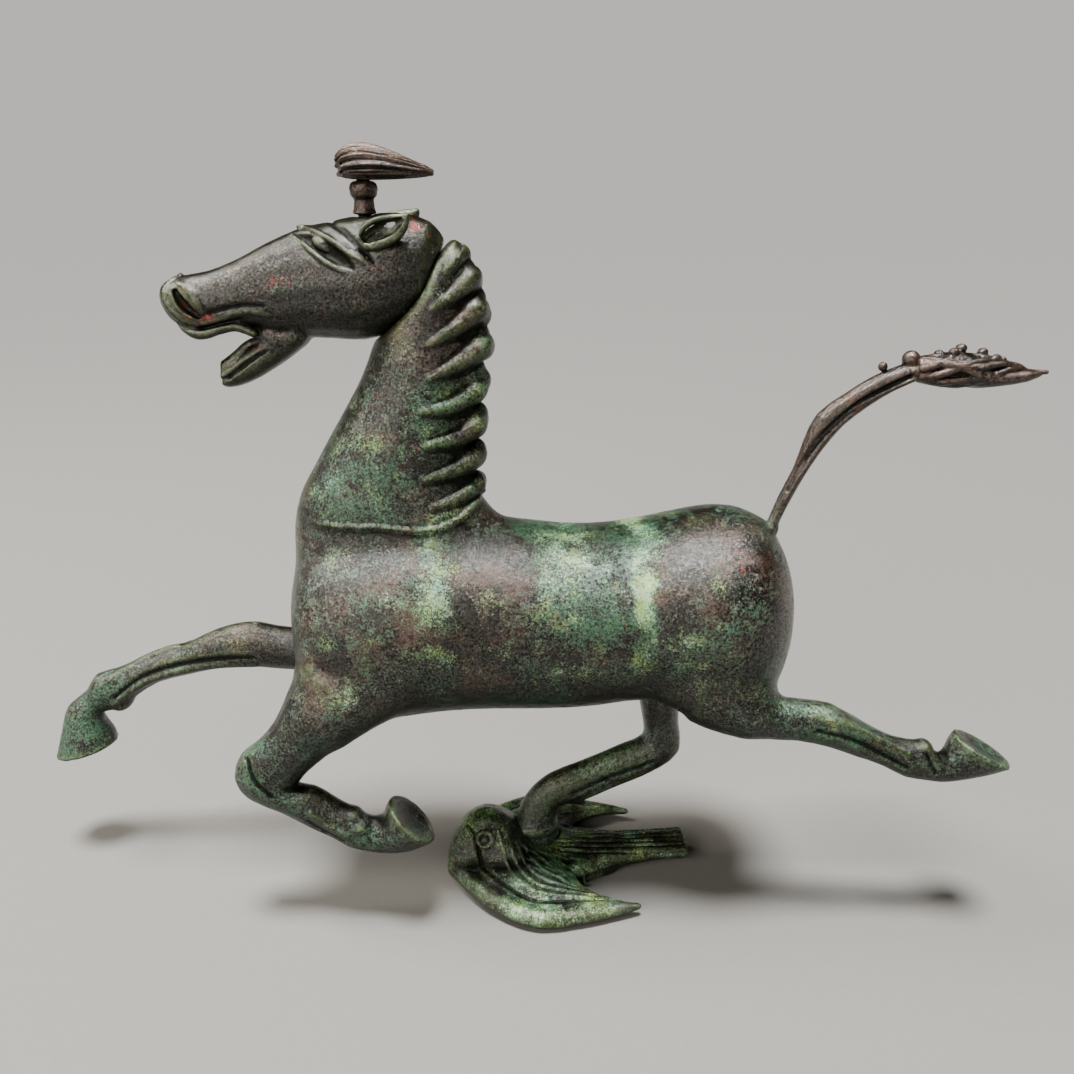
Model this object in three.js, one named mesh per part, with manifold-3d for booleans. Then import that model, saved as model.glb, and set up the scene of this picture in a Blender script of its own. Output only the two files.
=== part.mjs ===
// Bronze statuette: a pacing horse whose one standing hoof rests on a flying swallow.
// Millimetres, +Z up. The horse faces -X and its left side faces -Y.
// The origin lies on the flat underside of the swallow, below the horse's middle plane.
import * as THREE from 'three';
import { mergeVertices } from 'three/addons/utils/BufferGeometryUtils.js';
import Module from 'manifold-3d';

const wasm = await Module();
wasm.setup();

// Driving dimensions
const WALL = 3; // thickness of the hollow castings
const GAP = 0.3; // clearance between neighbouring pieces
const BODY_FRONT_X = -107; // foremost point of the chest
const BODY_REAR_X = 113; // rearmost point of the rump
const FRONT_SEAM_X = -44; // seam between chest and barrel
const REAR_SEAM_X = 45.5; // seam between barrel and hindquarter
const NECK_SEAM_Z = 193; // seam at the foot of the neck
const NECK_HOLLOW_TOP_Z = 250; // the neck is solid above this
const TRUNK_POWER = 2.15; // how far the trunk's sections are squared off
const SLEEVE_LENGTH = 12;
const SLEEVE_THICKNESS = 2;
const DOWEL_RADIUS = 2.5;
const ROD_RADIUS = 2.2;
const ROD_STEPS = 16;
const REACH = 600; // larger than the object, for cutting blocks

const Y_AXIS = new THREE.Vector3(0, 1, 0);
const Z_AXIS = new THREE.Vector3(0, 0, 1);

// ---------------------------------------------------------------- solids

function toSolid(geometry) {
  const plain = geometry.clone();
  plain.deleteAttribute('normal');
  plain.deleteAttribute('uv');
  const merged = mergeVertices(plain, 1e-4);
  const mesh = new wasm.Mesh({
    numProp: 3,
    vertProperties: new Float32Array(merged.attributes.position.array),
    triVerts: new Uint32Array(merged.index.array),
  });
  return new wasm.Manifold(mesh);
}

function toGeometry(solid) {
  const mesh = solid.getMesh();
  const geometry = new THREE.BufferGeometry();
  geometry.setAttribute('position', new THREE.BufferAttribute(mesh.vertProperties, 3));
  geometry.setIndex(new THREE.BufferAttribute(mesh.triVerts, 1));
  geometry.computeVertexNormals();
  return geometry;
}

// A block from its lowest corner to its highest corner.
function block(low, high) {
  const size = high.map((value, i) => value - low[i]);
  const geometry = new THREE.BoxGeometry(...size);
  geometry.translate(...low.map((value, i) => value + size[i] / 2));
  return toSolid(geometry);
}

// A round pin between two points.
function pin(start, end, radius, sides = 12) {
  const from = new THREE.Vector3(...start);
  const along = new THREE.Vector3(...end).sub(from);
  const geometry = new THREE.CylinderGeometry(radius, radius, along.length(), sides);
  geometry.translate(0, along.length() / 2, 0);
  const turn = new THREE.Quaternion().setFromUnitVectors(Y_AXIS, along.clone().normalize());
  geometry.applyQuaternion(turn);
  geometry.translate(from.x, from.y, from.z);
  return toSolid(geometry);
}

// A round bar bent along a smooth curve through the given points.
function bentBar(points, radius, steps) {
  const circle = new THREE.Shape().absarc(0, 0, radius, 0, 2 * Math.PI);
  const path = new THREE.CatmullRomCurve3(points.map((point) => new THREE.Vector3(...point)));
  const options = { steps, extrudePath: path, curveSegments: 4, bevelEnabled: false };
  return toSolid(new THREE.ExtrudeGeometry(circle, options));
}

// A turned solid about a vertical axis through (x, y). The profile is [radius, height] pairs.
function turned(profile, x, y, segments = 16) {
  const outline = profile.map(([radius, height]) => new THREE.Vector2(radius, height));
  const geometry = new THREE.LatheGeometry(outline, segments);
  geometry.rotateX(Math.PI / 2);
  geometry.translate(x, y, 0);
  return toSolid(geometry);
}

// ---------------------------------------------------------------- lofts
// A rib is one cross-section: two edge points a and b, and the half-width across them.

// Each row of a wing or tail is its edge points a and b and its half thickness.
function wingRibs(rows) {
  return rows.map(([ax, ay, az, bx, by, bz, halfWidth]) => ({
    a: new THREE.Vector3(ax, ay, az),
    b: new THREE.Vector3(bx, by, bz),
    halfWidth,
  }));
}

// Ribs of a limb or of the trunk lie in a vertical fore-and-aft plane at a distance y.
function sideRibs(rows) {
  return wingRibs(rows.map(([ax, az, bx, bz, y, halfWidth]) => [ax, y, az, bx, y, bz, halfWidth]));
}

function ringPoint(a, b, halfWidth, across, angle, power, grow) {
  const middle = a.clone().add(b).multiplyScalar(0.5);
  const half = a.clone().sub(middle);
  const reach = half.length() + grow;
  const rounded = (value) => Math.sign(value) * Math.abs(value) ** (2 / power);
  return middle
    .addScaledVector(half.normalize(), reach * rounded(Math.cos(angle)))
    .addScaledVector(across, (halfWidth + grow) * rounded(Math.sin(angle)));
}

// One closed body through the ribs. Smooth curves through the edge points fill in between
// them. grow moves the whole surface outwards, and power squares the sections off.
function loft(ribs, { sides = 12, between = 2, across = Y_AXIS, power = 2, grow = 0 } = {}) {
  const edgeA = new THREE.CatmullRomCurve3(ribs.map((rib) => rib.a));
  const edgeB = new THREE.CatmullRomCurve3(ribs.map((rib) => rib.b));
  const widths = new THREE.CatmullRomCurve3(
    ribs.map((rib, i) => new THREE.Vector3(rib.halfWidth, i * 8, 0)),
  );
  const rings = (ribs.length - 1) * between;
  const positions = [];
  const centres = [];
  for (let ring = 0; ring <= rings; ring += 1) {
    const t = ring / rings;
    const a = edgeA.getPoint(t);
    const b = edgeB.getPoint(t);
    const halfWidth = widths.getPoint(t).x;
    centres.push(a.clone().add(b).multiplyScalar(0.5));
    for (let side = 0; side < sides; side += 1) {
      const angle = (2 * Math.PI * side) / sides;
      const point = ringPoint(a, b, halfWidth, across, angle, power, grow);
      positions.push(point.x, point.y, point.z);
    }
  }
  pushEnd(positions, centres[0], centres[1], 0, sides, grow);
  pushEnd(positions, centres[rings], centres[rings - 1], rings, sides, grow);
  return closedLoft(positions, rings, sides);
}

// Moves an end ring outwards by grow and adds the centre point of its cap.
function pushEnd(positions, end, inner, ring, sides, grow) {
  const shift = end.clone().sub(inner).normalize().multiplyScalar(grow);
  for (let i = ring * sides; i < (ring + 1) * sides; i += 1) {
    positions[3 * i] += shift.x;
    positions[3 * i + 1] += shift.y;
    positions[3 * i + 2] += shift.z;
  }
  const cap = end.clone().add(shift);
  positions.push(cap.x, cap.y, cap.z);
}

function closedLoft(positions, rings, sides) {
  const index = [];
  for (let ring = 0; ring < rings; ring += 1) {
    for (let side = 0; side < sides; side += 1) {
      const next = (side + 1) % sides;
      const near = ring * sides;
      const far = near + sides;
      index.push(near + side, near + next, far + next);
      index.push(near + side, far + next, far + side);
    }
  }
  const firstCap = (rings + 1) * sides;
  const last = rings * sides;
  for (let side = 0; side < sides; side += 1) {
    const next = (side + 1) % sides;
    index.push(firstCap, next, side);
    index.push(firstCap + 1, last + side, last + next);
  }
  const geometry = new THREE.BufferGeometry();
  geometry.setAttribute('position', new THREE.Float32BufferAttribute(positions, 3));
  geometry.setIndex(index);
  if (signedVolume(positions, index) < 0) {
    geometry.setIndex(index.slice().reverse());
  }
  return toSolid(geometry);
}

function signedVolume(positions, index) {
  const corner = (i) => new THREE.Vector3().fromArray(positions, 3 * i);
  let volume = 0;
  for (let i = 0; i < index.length; i += 3) {
    volume += corner(index[i]).dot(corner(index[i + 1]).cross(corner(index[i + 2])));
  }
  return volume;
}

// ---------------------------------------------------------------- ribs of the horse
// Rows are [ax, az, bx, bz, y, halfWidth].

const TRUNK = sideRibs([ // a on the back, b on the belly
  [BODY_FRONT_X, 152, BODY_FRONT_X + 0.5, 130, 0, 9],
  [-104.5, 166, -103.5, 110, 0, 25],
  [-97, 177, -96, 97, 0, 36],
  [-83, 184, -82, 91.5, 0, 42],
  [-62, 188, -62, 94, 0, 44],
  [-40, 187, -40, 97.5, 0, 43.5],
  [-16, 183.5, -16, 98.5, 0, 42.5],
  [10, 180.5, 10, 98.5, 0, 41.5],
  [30, 180.5, 30, 100.5, 0, 41],
  [48, 183.5, 48, 103.5, 0, 42],
  [66, 187.5, 66, 101, 0, 43.5],
  [81, 189.3, 80, 96.5, 0, 43.8],
  [94.5, 186, 91.5, 95, 0, 41],
  [104, 177, 100, 101.5, 0, 33.5],
  [110, 163.5, 107, 113, 0, 23.5],
  [BODY_REAR_X, 149, BODY_REAR_X - 1.2, 130, 0, 9],
]);

const NECK = sideRibs([ // a on the nape, b on the throat
  [2, 168, -106, 158, 0, 27],
  [-14, 184, -106, 178, 0, 25.5],
  [-25, 198, -102.5, 195, 0, 24.5],
  [-29, 212, -95, 208, 0, 23.5],
  [-29, 226, -87, 221.5, 0, 22.2],
  [-28, 240, -79.5, 234, 0, 20.5],
  [-26.5, 254, -73, 245.5, 0, 18.5],
  [-25.5, 268, -68.5, 256, 0, 17.5],
  [-28, 282, -64, 268, 0, 16.5],
  [-34, 294, -58, 281, 0, 14],
  [-41, 301, -54, 291, 0, 8],
]);

const HEAD = sideRibs([ // a along the forehead and nose, b along the jaw and lip
  [-36.5, 301, -42, 289, 0, 8],
  [-42, 308, -46, 274, 0, 15],
  [-54, 311.3, -58, 265.5, 0, 19],
  [-68, 310.6, -69.5, 261.5, 0, 20.5],
  [-82, 308, -82, 262, 0, 19.5],
  [-95, 305, -94, 262.5, 0, 16.5],
  [-108, 299.5, -106, 264, 0, 13.5],
  [-120, 293.5, -118, 266.5, 0, 11.5],
  [-132, 289, -131, 265, 0, 10.5],
  [-143, 287, -141, 265.5, 0, 10.5],
  [-149.5, 284.5, -147.5, 270, 0, 8],
  [-151.5, 281, -151, 276, 0, 3.5],
]);

const JAW = sideRibs([ // a on the tongue side, b on the chin side
  [-98, 270, -92, 261, 0, 11],
  [-107, 266.5, -101, 254, 0, 9.5],
  [-117, 260, -110.5, 248, 0, 8],
  [-125, 255, -119.5, 243.5, 0, 7.5],
  [-131, 250.5, -127.5, 242, 0, 7],
  [-132, 248.5, -130.5, 244.5, 0, 4.5],
]);

const EAR = [ // a on the upper rim, b on the lower rim; y is outwards from the middle plane
  [-69, 300.5, -65, 295.5, 15, 2.6],
  [-66.5, 304.5, -60.5, 297.5, 16.5, 3.2],
  [-60.5, 308.8, -54.5, 300.5, 17.5, 3.2],
  [-54, 311.3, -50.5, 305, 18, 2.4],
  [-48.8, 312, -48, 310, 18.2, 1],
];

const RIGHT_FORE_LEG = sideRibs([ // stretched forward; a above, b below; ends at the sole
  [-82, 142, -76, 108, 27, 15],
  [-98, 130, -94, 102, 28.5, 12.5],
  [-115, 119.5, -116, 98.5, 29, 9.5],
  [-134, 123, -132.5, 99.5, 29, 9],
  [-146, 121.8, -145.5, 99.6, 28.5, 8.4],
  [-157, 117.8, -157, 98.4, 28.5, 7.4],
  [-170, 111.2, -168, 96, 28, 6.4],
  [-186, 105.2, -183.5, 91.6, 28, 6],
  [-200, 99.6, -194.5, 84.5, 28, 6.6],
  [-213.5, 96, -201.5, 77.8, 28, 7.6],
  [-219.5, 87, -212.5, 75.5, 28, 6.2],
  [-229, 79.5, -212, 70.5, 28, 8.2],
  [-233, 70, -208.5, 63.8, 28, 10.6],
  [-238.8, 51, -207.7, 59.8, 28, 12.4],
]);

const LEFT_FORE_LEG = sideRibs([ // folded back; a in front and below, b behind and above
  [-98, 134, -66, 106, -28, 15],
  [-107, 116, -79, 95, -29, 13],
  [-113.5, 102.5, -91.5, 85.5, -30, 10.4],
  [-121.5, 93, -100.5, 77.5, -30, 9],
  [-129, 87, -104, 72.5, -30, 8.5],
  [-133.4, 75, -105.5, 71, -30, 8.3],
  [-128.5, 65.5, -103.5, 69.8, -30, 8],
  [-114, 57.5, -99, 70, -30, 7.2],
  [-102.5, 50, -94, 67.8, -30, 6.5],
  [-92.5, 44.5, -86.5, 62, -30, 6.4],
  [-84, 39.3, -79.5, 58, -30, 7.3],
  [-75, 37, -73.5, 54, -30, 6.8],
  [-66, 36.2, -68.5, 56, -30, 8.4],
  [-55.5, 38, -67, 60.5, -30, 10.6],
  [-45.5, 43.5, -65, 63.2, -30, 12],
]);

const LEFT_HIND_LEG = sideRibs([ // stretched back; a above, b below; ends at the sole
  [70, 136, 66, 103, -25, 16.5],
  [86, 124, 81, 97.8, -27, 14.5],
  [101, 113.5, 98, 94, -28, 11],
  [114, 111.5, 113, 92.6, -28, 8.8],
  [127, 109.8, 127, 89.4, -28.5, 8.6],
  [141, 101, 139.5, 84.6, -28.5, 7],
  [152.5, 95, 151, 80.2, -28.5, 6.2],
  [162, 92.4, 161.5, 74.6, -28.5, 7],
  [170.8, 91, 170, 73, -28.5, 7.2],
  [176.5, 85, 179, 72, -28.5, 6.4],
  [178.6, 89, 190.5, 74.2, -28.5, 8.4],
  [180, 92.5, 200.5, 77.3, -28.5, 10.6],
  [182, 95.3, 208, 81, -28.5, 12],
]);

const RIGHT_HIND_LEG = sideRibs([ // standing leg; a in front, b behind; ends at the sole
  [42, 128, 84, 122, 24, 15],
  [45, 106, 76, 104, 25, 13],
  [48.3, 88, 69.5, 84, 25, 11],
  [51.3, 74, 69.2, 72, 24.5, 9],
  [51.5, 64.5, 70.3, 57.5, 23.5, 8.4],
  [41, 60, 60.5, 48, 22.5, 7.6],
  [29, 55.2, 47, 42.6, 21, 6.8],
  [17, 51, 34.5, 38.2, 19, 6.6],
  [5.2, 46.6, 21.5, 33, 17, 7.4],
  [-3.5, 39, 11.5, 30.5, 15.8, 7],
  [-8.5, 30, 9.6, 26, 15.2, 7.6],
  [-11.2, 20.5, 10.4, 18.5, 15, 10],
  [-12.4, 11, 12.4, 9.4, 15, 12],
  [-11.6, 8, 12, 7.2, 15, 11.6],
]);

const ERGOT = sideRibs([ // spur behind the fetlock of the standing leg
  [6, 42, 8, 33, 17, 5],
  [16, 38, 15, 31, 17, 4],
  [25.5, 31.2, 25, 29.4, 17, 1.2],
]);

const TAIL_STALK = sideRibs([ // a in front and above, b behind and below
  [93, 168, 99, 165, 0, 4.4],
  [99.8, 184, 104.5, 182, 0, 3.2],
  [103.2, 194, 108.8, 192.5, 0, 3],
  [108.8, 207, 115.2, 206, 0, 3.5],
  [112.2, 219.8, 121.8, 216.5, 0, 4.1],
  [116.8, 230.6, 129.2, 226, 0, 4.6],
  [127, 238.8, 138.6, 233.8, 0, 4.6],
  [138.5, 246.4, 149, 240.6, 0, 4.8],
  [150, 251.4, 158, 244.8, 0, 5],
  [160, 254, 163, 247.5, 0, 3.6],
]);

const TAIL_TUFT = sideRibs([ // a above, b below
  [157.8, 254, 159.5, 243.6, 0, 6],
  [165, 257.2, 165.5, 243.6, 0, 7.2],
  [173.5, 258.8, 173, 241.6, 0, 8.2],
  [182.5, 255.4, 182.5, 240, 0, 8.6],
  [192, 251.2, 192, 240.8, 0, 8],
  [203, 251, 202.5, 242.6, 0, 6.2],
  [211.4, 248.8, 211.4, 246.4, 0, 2],
]);

const CREST_LEAF = sideRibs([ // a above, b below
  [-78.2, 331, -77.9, 328.4, 0, 3],
  [-75.6, 334.6, -75.4, 324.8, 0, 8],
  [-70, 337.2, -70, 323.6, 0, 11.5],
  [-62.5, 336, -62.5, 323.3, 0, 12],
  [-54.5, 333, -54.5, 323.5, 0, 9.6],
  [-47, 330, -47, 324.1, 0, 6],
  [-40.2, 326.8, -40.2, 325.2, 0, 1.6],
]);

// Mane locks: each row is [low front x, z, high back x, z], a lobe over the nape.
const MANE_LOCKS = [
  [-38, 291.5, -29.8, 298.5],
  [-39, 281, -24, 290],
  [-39, 267, -20.2, 279],
  [-38, 253, -19, 265],
  [-41, 240, -20.6, 249.5],
  [-41, 225, -22, 232],
  [-41, 211, -23.6, 214.5],
  [-40, 199.5, -25.8, 202.5],
];

// Ribs of a lock: its share of the way from front to back, how far its upper edge and its lower
// edge lie from that point in x and z, and its half-width.
const LOCK_RIBS = [
  [0, 0, 2, 1, -3, 11],
  [0.5, -1, 5.2, 2, -6.2, 12],
  [1, -4, 4.7, -2, -7.2, 9],
  [1, -0.4, 2.5, 0, -4, 4],
];

// ---------------------------------------------------------------- ribs of the swallow
const BIRD_BODY = sideRibs([ // beak to rump; a on the back, b below the underside
  [-43.4, 13, -43.4, 5, 2, 2.5],
  [-40.5, 22, -41, -3, 4, 8.5],
  [-34, 31, -36, -8, 5.5, 13.5],
  [-25, 35, -26, -10, 7, 15.5],
  [-15, 30, -14, -12, 8, 19],
  [-3, 18, -3, -13, 9, 23],
  [10, 15.5, 10, -13, 10, 22],
  [24, 15, 24, -11, 11, 16],
  [38, 14.5, 38, -8, 12, 11],
]);

const BIRD_TAIL = wingRibs([ // a is the near edge, b the far edge
  [8, -18, 6, 8, 36, 6, 5],
  [17, -10.5, 6.4, 17, 30, 6.4, 5.8],
  [27, -5, 6.8, 27, 25.5, 6.8, 6.2],
  [40, -0.5, 7.8, 40, 23.5, 7.8, 5.6],
  [56, 3.3, 8.6, 55, 24, 8.6, 4.6],
  [74.2, 4.4, 9, 72.4, 27, 9, 3.6],
]);

const BIRD_AXIS_Y = 10; // the wings are mirror images about this line
const NEAR_WING = [ // [leading x, y, z, trailing x, y, z, half thickness]
  [-30, 0, 9, 14, 0, 9, 8],
  [-29, -17, 6.5, 18, -9, 8, 6.5],
  [-17, -32, 4.6, 21, -14.5, 7.4, 5],
  [1, -41.5, 3.8, 27, -20.5, 6.6, 3.9],
  [21, -38, 3.8, 35, -24.5, 6, 3],
  [37.5, -33, 4.2, 42.5, -27.5, 5.4, 2],
  [48, -28.4, 4.8, 48.5, -27.4, 5, 0.9],
];

// ---------------------------------------------------------------- hidden hardware
const ROD_LINE = [ // from below the bird, up inside the standing leg, into the hindquarter
  [1, 15, 1.2],
  [1, 15, 12],
  [0.5, 15.2, 24],
  [4, 16, 34],
  [14, 17.5, 42],
  [28, 20, 47.5],
  [44, 22, 52.5],
  [57, 23.5, 59],
  [60.5, 24.5, 70],
  [60, 25, 84],
  [60, 25, 108],
];
const DOWELS = {
  left_fore_dowel: [[-84, -23, 122], [-103, -29.5, 97]],
  right_fore_dowel: [[-82, 22, 126], [-112, 29, 109.5]],
  left_hind_dowel: [[74, -21, 122], [106, -28, 102.5]],
  head_dowel: [[-46, 0, 262], [-56, 0, 292]],
};
const WASHER = { radius: 5.6, low: 3.4, high: 4.2 };
const NUT = { radius: 4.6, low: 0.6, high: 3.1 };
const COUNTERBORE = { radius: 6.2, top: 4.5 };

const CREST_X = -67.8;
const STEM_PROFILE = [ // [radius, height] from the tenon in the head to the tenon in the leaf
  [0, 303], [2.4, 303], [2.4, 310.4], [4.9, 310.9], [4.2, 312.4], [3.9, 316.2],
  [5.2, 317.6], [5.7, 320.2], [5.2, 322], [4, 323], [2.4, 323.1], [2.4, 328], [0, 328],
];

// ---------------------------------------------------------------- shared bodies

// The trunk's outer shape, or its hollow when inset is the thickness of the wall.
function trunk(grow = 0) {
  return loft(TRUNK, { sides: 24, between: 2, power: TRUNK_POWER, grow });
}

function trunkHollow(inset) {
  const length = BODY_REAR_X - BODY_FRONT_X;
  const middle = (BODY_REAR_X + BODY_FRONT_X) / 2;
  const solid = loft(TRUNK, { sides: 16, between: 1, power: TRUNK_POWER, grow: -inset });
  const squeeze = (length - 2 * inset) / length;
  return solid.translate([-middle, 0, 0]).scale([squeeze, 1, 1]).translate([middle, 0, 0]);
}

function neck(grow = 0) {
  return loft(NECK, { sides: 16, between: 2, grow });
}

function neckHollow(inset) {
  return loft(NECK, { sides: 12, between: 1, grow: -inset });
}

function head(grow = 0) {
  const skull = loft(HEAD, { sides: 16, between: 2, power: 2.2, grow });
  const jaw = loft(JAW, { sides: 10, between: 2, power: 2.4, grow });
  return skull.add(jaw);
}

function earRibs(side) {
  return sideRibs(EAR.map(([ax, az, bx, bz, y, width]) => [ax, az, bx, bz, side * y, width]));
}

function standingLeg(grow = 0) {
  const leg = loft(RIGHT_HIND_LEG, { grow });
  const spur = loft(ERGOT, { sides: 8, grow });
  return leg.add(spur);
}

function tailStalk(grow = 0) {
  return loft(TAIL_STALK, { sides: 8, grow });
}

function crestStem(grow = 0) {
  const last = STEM_PROFILE.length - 1;
  const profile = STEM_PROFILE.map(([radius, height], i) => {
    const lift = i <= 1 ? -grow : i >= last - 1 ? grow : 0;
    return [radius === 0 ? 0 : radius + grow, height + lift];
  });
  return turned(profile, CREST_X, 0);
}

function dowel(name, grow = 0) {
  const [start, end] = DOWELS[name].map((point) => new THREE.Vector3(...point));
  const along = end.clone().sub(start).normalize().multiplyScalar(grow);
  return pin(start.sub(along).toArray(), end.add(along).toArray(), DOWEL_RADIUS + grow);
}

function legRod(grow = 0) {
  return bentBar(ROD_LINE, ROD_RADIUS + grow, ROD_STEPS);
}

// ---------------------------------------------------------------- pieces

// The three trunk shells before they are parted, open inside and up into the neck.
function trunkShell() {
  const belowNeckSeam = block([-REACH, -REACH, -REACH], [REACH, REACH, NECK_SEAM_Z]);
  const outer = trunk().add(neck()).intersect(belowNeckSeam);
  const inner = trunkHollow(WALL).add(neckHollow(WALL));
  return outer
    .subtract(inner)
    .subtract(tailStalk(GAP))
    .subtract(legRod(GAP))
    .subtract(dowel('left_fore_dowel', GAP))
    .subtract(dowel('right_fore_dowel', GAP))
    .subtract(dowel('left_hind_dowel', GAP));
}

function slabAlongX(low, high) {
  return block([low, -REACH, -REACH], [high, REACH, REACH]);
}

function neckCasting() {
  const aboveSeam = block([-REACH, -REACH, NECK_SEAM_Z + GAP], [REACH, REACH, REACH]);
  const hollowTop = block([-REACH, -REACH, -REACH], [REACH, REACH, NECK_HOLLOW_TOP_Z]);
  let solid = neck();
  for (const row of MANE_LOCKS) {
    solid = solid.add(maneLock(row));
  }
  return solid
    .intersect(aboveSeam)
    .subtract(neckHollow(WALL).intersect(hollowTop))
    .subtract(head(GAP))
    .subtract(dowel('head_dowel', GAP));
}

// One lock of the mane: a lobe that starts narrow on the side and ends round on the nape.
function maneLock([frontX, frontZ, backX, backZ]) {
  const rows = LOCK_RIBS.map(([share, upperX, upperZ, lowerX, lowerZ, halfWidth]) => {
    const x = THREE.MathUtils.lerp(frontX, backX, share);
    const z = THREE.MathUtils.lerp(frontZ, backZ, share);
    return [x + upperX, z + upperZ, x + lowerX, z + lowerZ, 0, halfWidth];
  });
  return loft(sideRibs(rows), { sides: 8, between: 1 });
}

function headCasting() {
  return head().subtract(crestStem(GAP)).subtract(dowel('head_dowel', GAP));
}

function ear(side) {
  return loft(earRibs(side), { sides: 8, between: 2 }).subtract(head(GAP)).subtract(neck(GAP));
}

function crestLeaf() {
  return loft(CREST_LEAF, { sides: 12, between: 2 }).subtract(crestStem(GAP));
}

// A leg ends on the outside of the trunk, which its dowel passes through.
function brazedLeg(ribs, dowelName) {
  return loft(ribs).subtract(trunk(GAP)).subtract(dowel(dowelName, GAP));
}

function rightHindLeg() {
  return standingLeg().subtract(trunk(GAP)).subtract(legRod(GAP));
}

function tailTuft() {
  return loft(TAIL_TUFT, { sides: 10, between: 2 }).subtract(tailStalk(GAP));
}

function swallowWing(side) {
  const rows = NEAR_WING.map(([ax, ay, az, bx, by, bz, half]) => {
    const mirror = (y) => (side < 0 ? y : 2 * BIRD_AXIS_Y - y);
    return [ax, mirror(ay), az, bx, mirror(by), bz, half];
  });
  return loft(wingRibs(rows), { sides: 10, between: 2, across: Z_AXIS });
}

function swallowBase() {
  const aboveGround = block([-REACH, -REACH, 0], [REACH, REACH, REACH]);
  const [x, y] = ROD_LINE[0];
  const { radius, top } = COUNTERBORE;
  return loft(BIRD_BODY, { sides: 14 })
    .add(loft(BIRD_TAIL, { sides: 10, across: Z_AXIS, power: 3 }))
    .add(swallowWing(-1))
    .add(swallowWing(1))
    .intersect(aboveGround)
    .subtract(standingLeg(GAP))
    .subtract(legRod(GAP))
    .subtract(pin([x, y, -1], [x, y, top], radius, 16));
}

// A turned washer or nut around the rod.
function ringOnRod({ radius, low, high }, sides) {
  const [x, y] = ROD_LINE[0];
  return pin([x, y, low], [x, y, high], radius, sides).subtract(legRod(GAP));
}

// A ring that backs a seam of the trunk from inside.
function trunkSleeve(seamX) {
  const slab = slabAlongX(seamX - SLEEVE_LENGTH / 2, seamX + SLEEVE_LENGTH / 2);
  const outer = trunkHollow(WALL + GAP);
  const inner = trunkHollow(WALL + GAP + SLEEVE_THICKNESS);
  return outer.subtract(inner).intersect(slab);
}

function neckSleeve() {
  const low = [-REACH, -REACH, NECK_SEAM_Z - SLEEVE_LENGTH / 2];
  const high = [REACH, REACH, NECK_SEAM_Z + SLEEVE_LENGTH / 2];
  const outer = neckHollow(WALL + GAP);
  const inner = neckHollow(WALL + GAP + SLEEVE_THICKNESS);
  return outer.subtract(inner).intersect(block(low, high));
}

// ---------------------------------------------------------------- materials
const bronze = (color) => new THREE.MeshStandardMaterial({ color, roughness: 0.38, metalness: 0.7 });
const MATERIALS = {
  body: () => bronze('#41452f'),
  neck: () => bronze('#3d3a2a'),
  head: () => bronze('#35291f'),
  legs: () => bronze('#24402f'),
  tail: () => bronze('#4a3527'),
  crest: () => bronze('#4b4030'),
  bird: () => bronze('#2f3d2b'),
  iron: () => new THREE.MeshStandardMaterial({ color: '#4a4038', roughness: 0.7, metalness: 0.6 }),
};

// ---------------------------------------------------------------- assembly
const statue = new THREE.Group();

function place(name, solid, material) {
  const mesh = new THREE.Mesh(toGeometry(solid), MATERIALS[material]());
  mesh.name = name;
  statue.add(mesh);
}

const shell = trunkShell();
place('chest_casting', shell.intersect(slabAlongX(-REACH, FRONT_SEAM_X)), 'body');
place('barrel_casting', shell.intersect(slabAlongX(FRONT_SEAM_X + GAP, REAR_SEAM_X)), 'body');
place('hindquarter_casting', shell.intersect(slabAlongX(REAR_SEAM_X + GAP, REACH)), 'body');
place('neck_casting', neckCasting(), 'neck');
place('head_casting', headCasting(), 'head');
place('left_ear', ear(-1), 'head');
place('right_ear', ear(1), 'head');
place('crest_stem', crestStem(), 'crest');
place('crest_leaf', crestLeaf(), 'crest');
place('left_fore_leg', brazedLeg(LEFT_FORE_LEG, 'left_fore_dowel'), 'legs');
place('right_fore_leg', brazedLeg(RIGHT_FORE_LEG, 'right_fore_dowel'), 'legs');
place('left_hind_leg', brazedLeg(LEFT_HIND_LEG, 'left_hind_dowel'), 'legs');
place('right_hind_leg', rightHindLeg(), 'legs');
place('tail_stalk', tailStalk(), 'tail');
place('tail_tuft', tailTuft(), 'tail');
place('swallow_base', swallowBase(), 'bird');
place('standing_leg_rod', legRod(), 'iron');
place('base_washer', ringOnRod(WASHER, 16), 'iron');
place('base_nut', ringOnRod(NUT, 6), 'iron');
for (const name of Object.keys(DOWELS)) {
  place(name, dowel(name), 'iron');
}
place('front_seam_sleeve', trunkSleeve(FRONT_SEAM_X), 'iron');
place('rear_seam_sleeve', trunkSleeve(REAR_SEAM_X), 'iron');
place('neck_sleeve', neckSleeve(), 'iron');

export default statue;
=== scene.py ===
"""Looks of the bronze horse statue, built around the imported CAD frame.

Every visible casting is sculpted as a distance field in millimetres that starts from its CAD
nodes, gets its modelled detail by strokes, and is then turned into a mesh.
"""

import math

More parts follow.
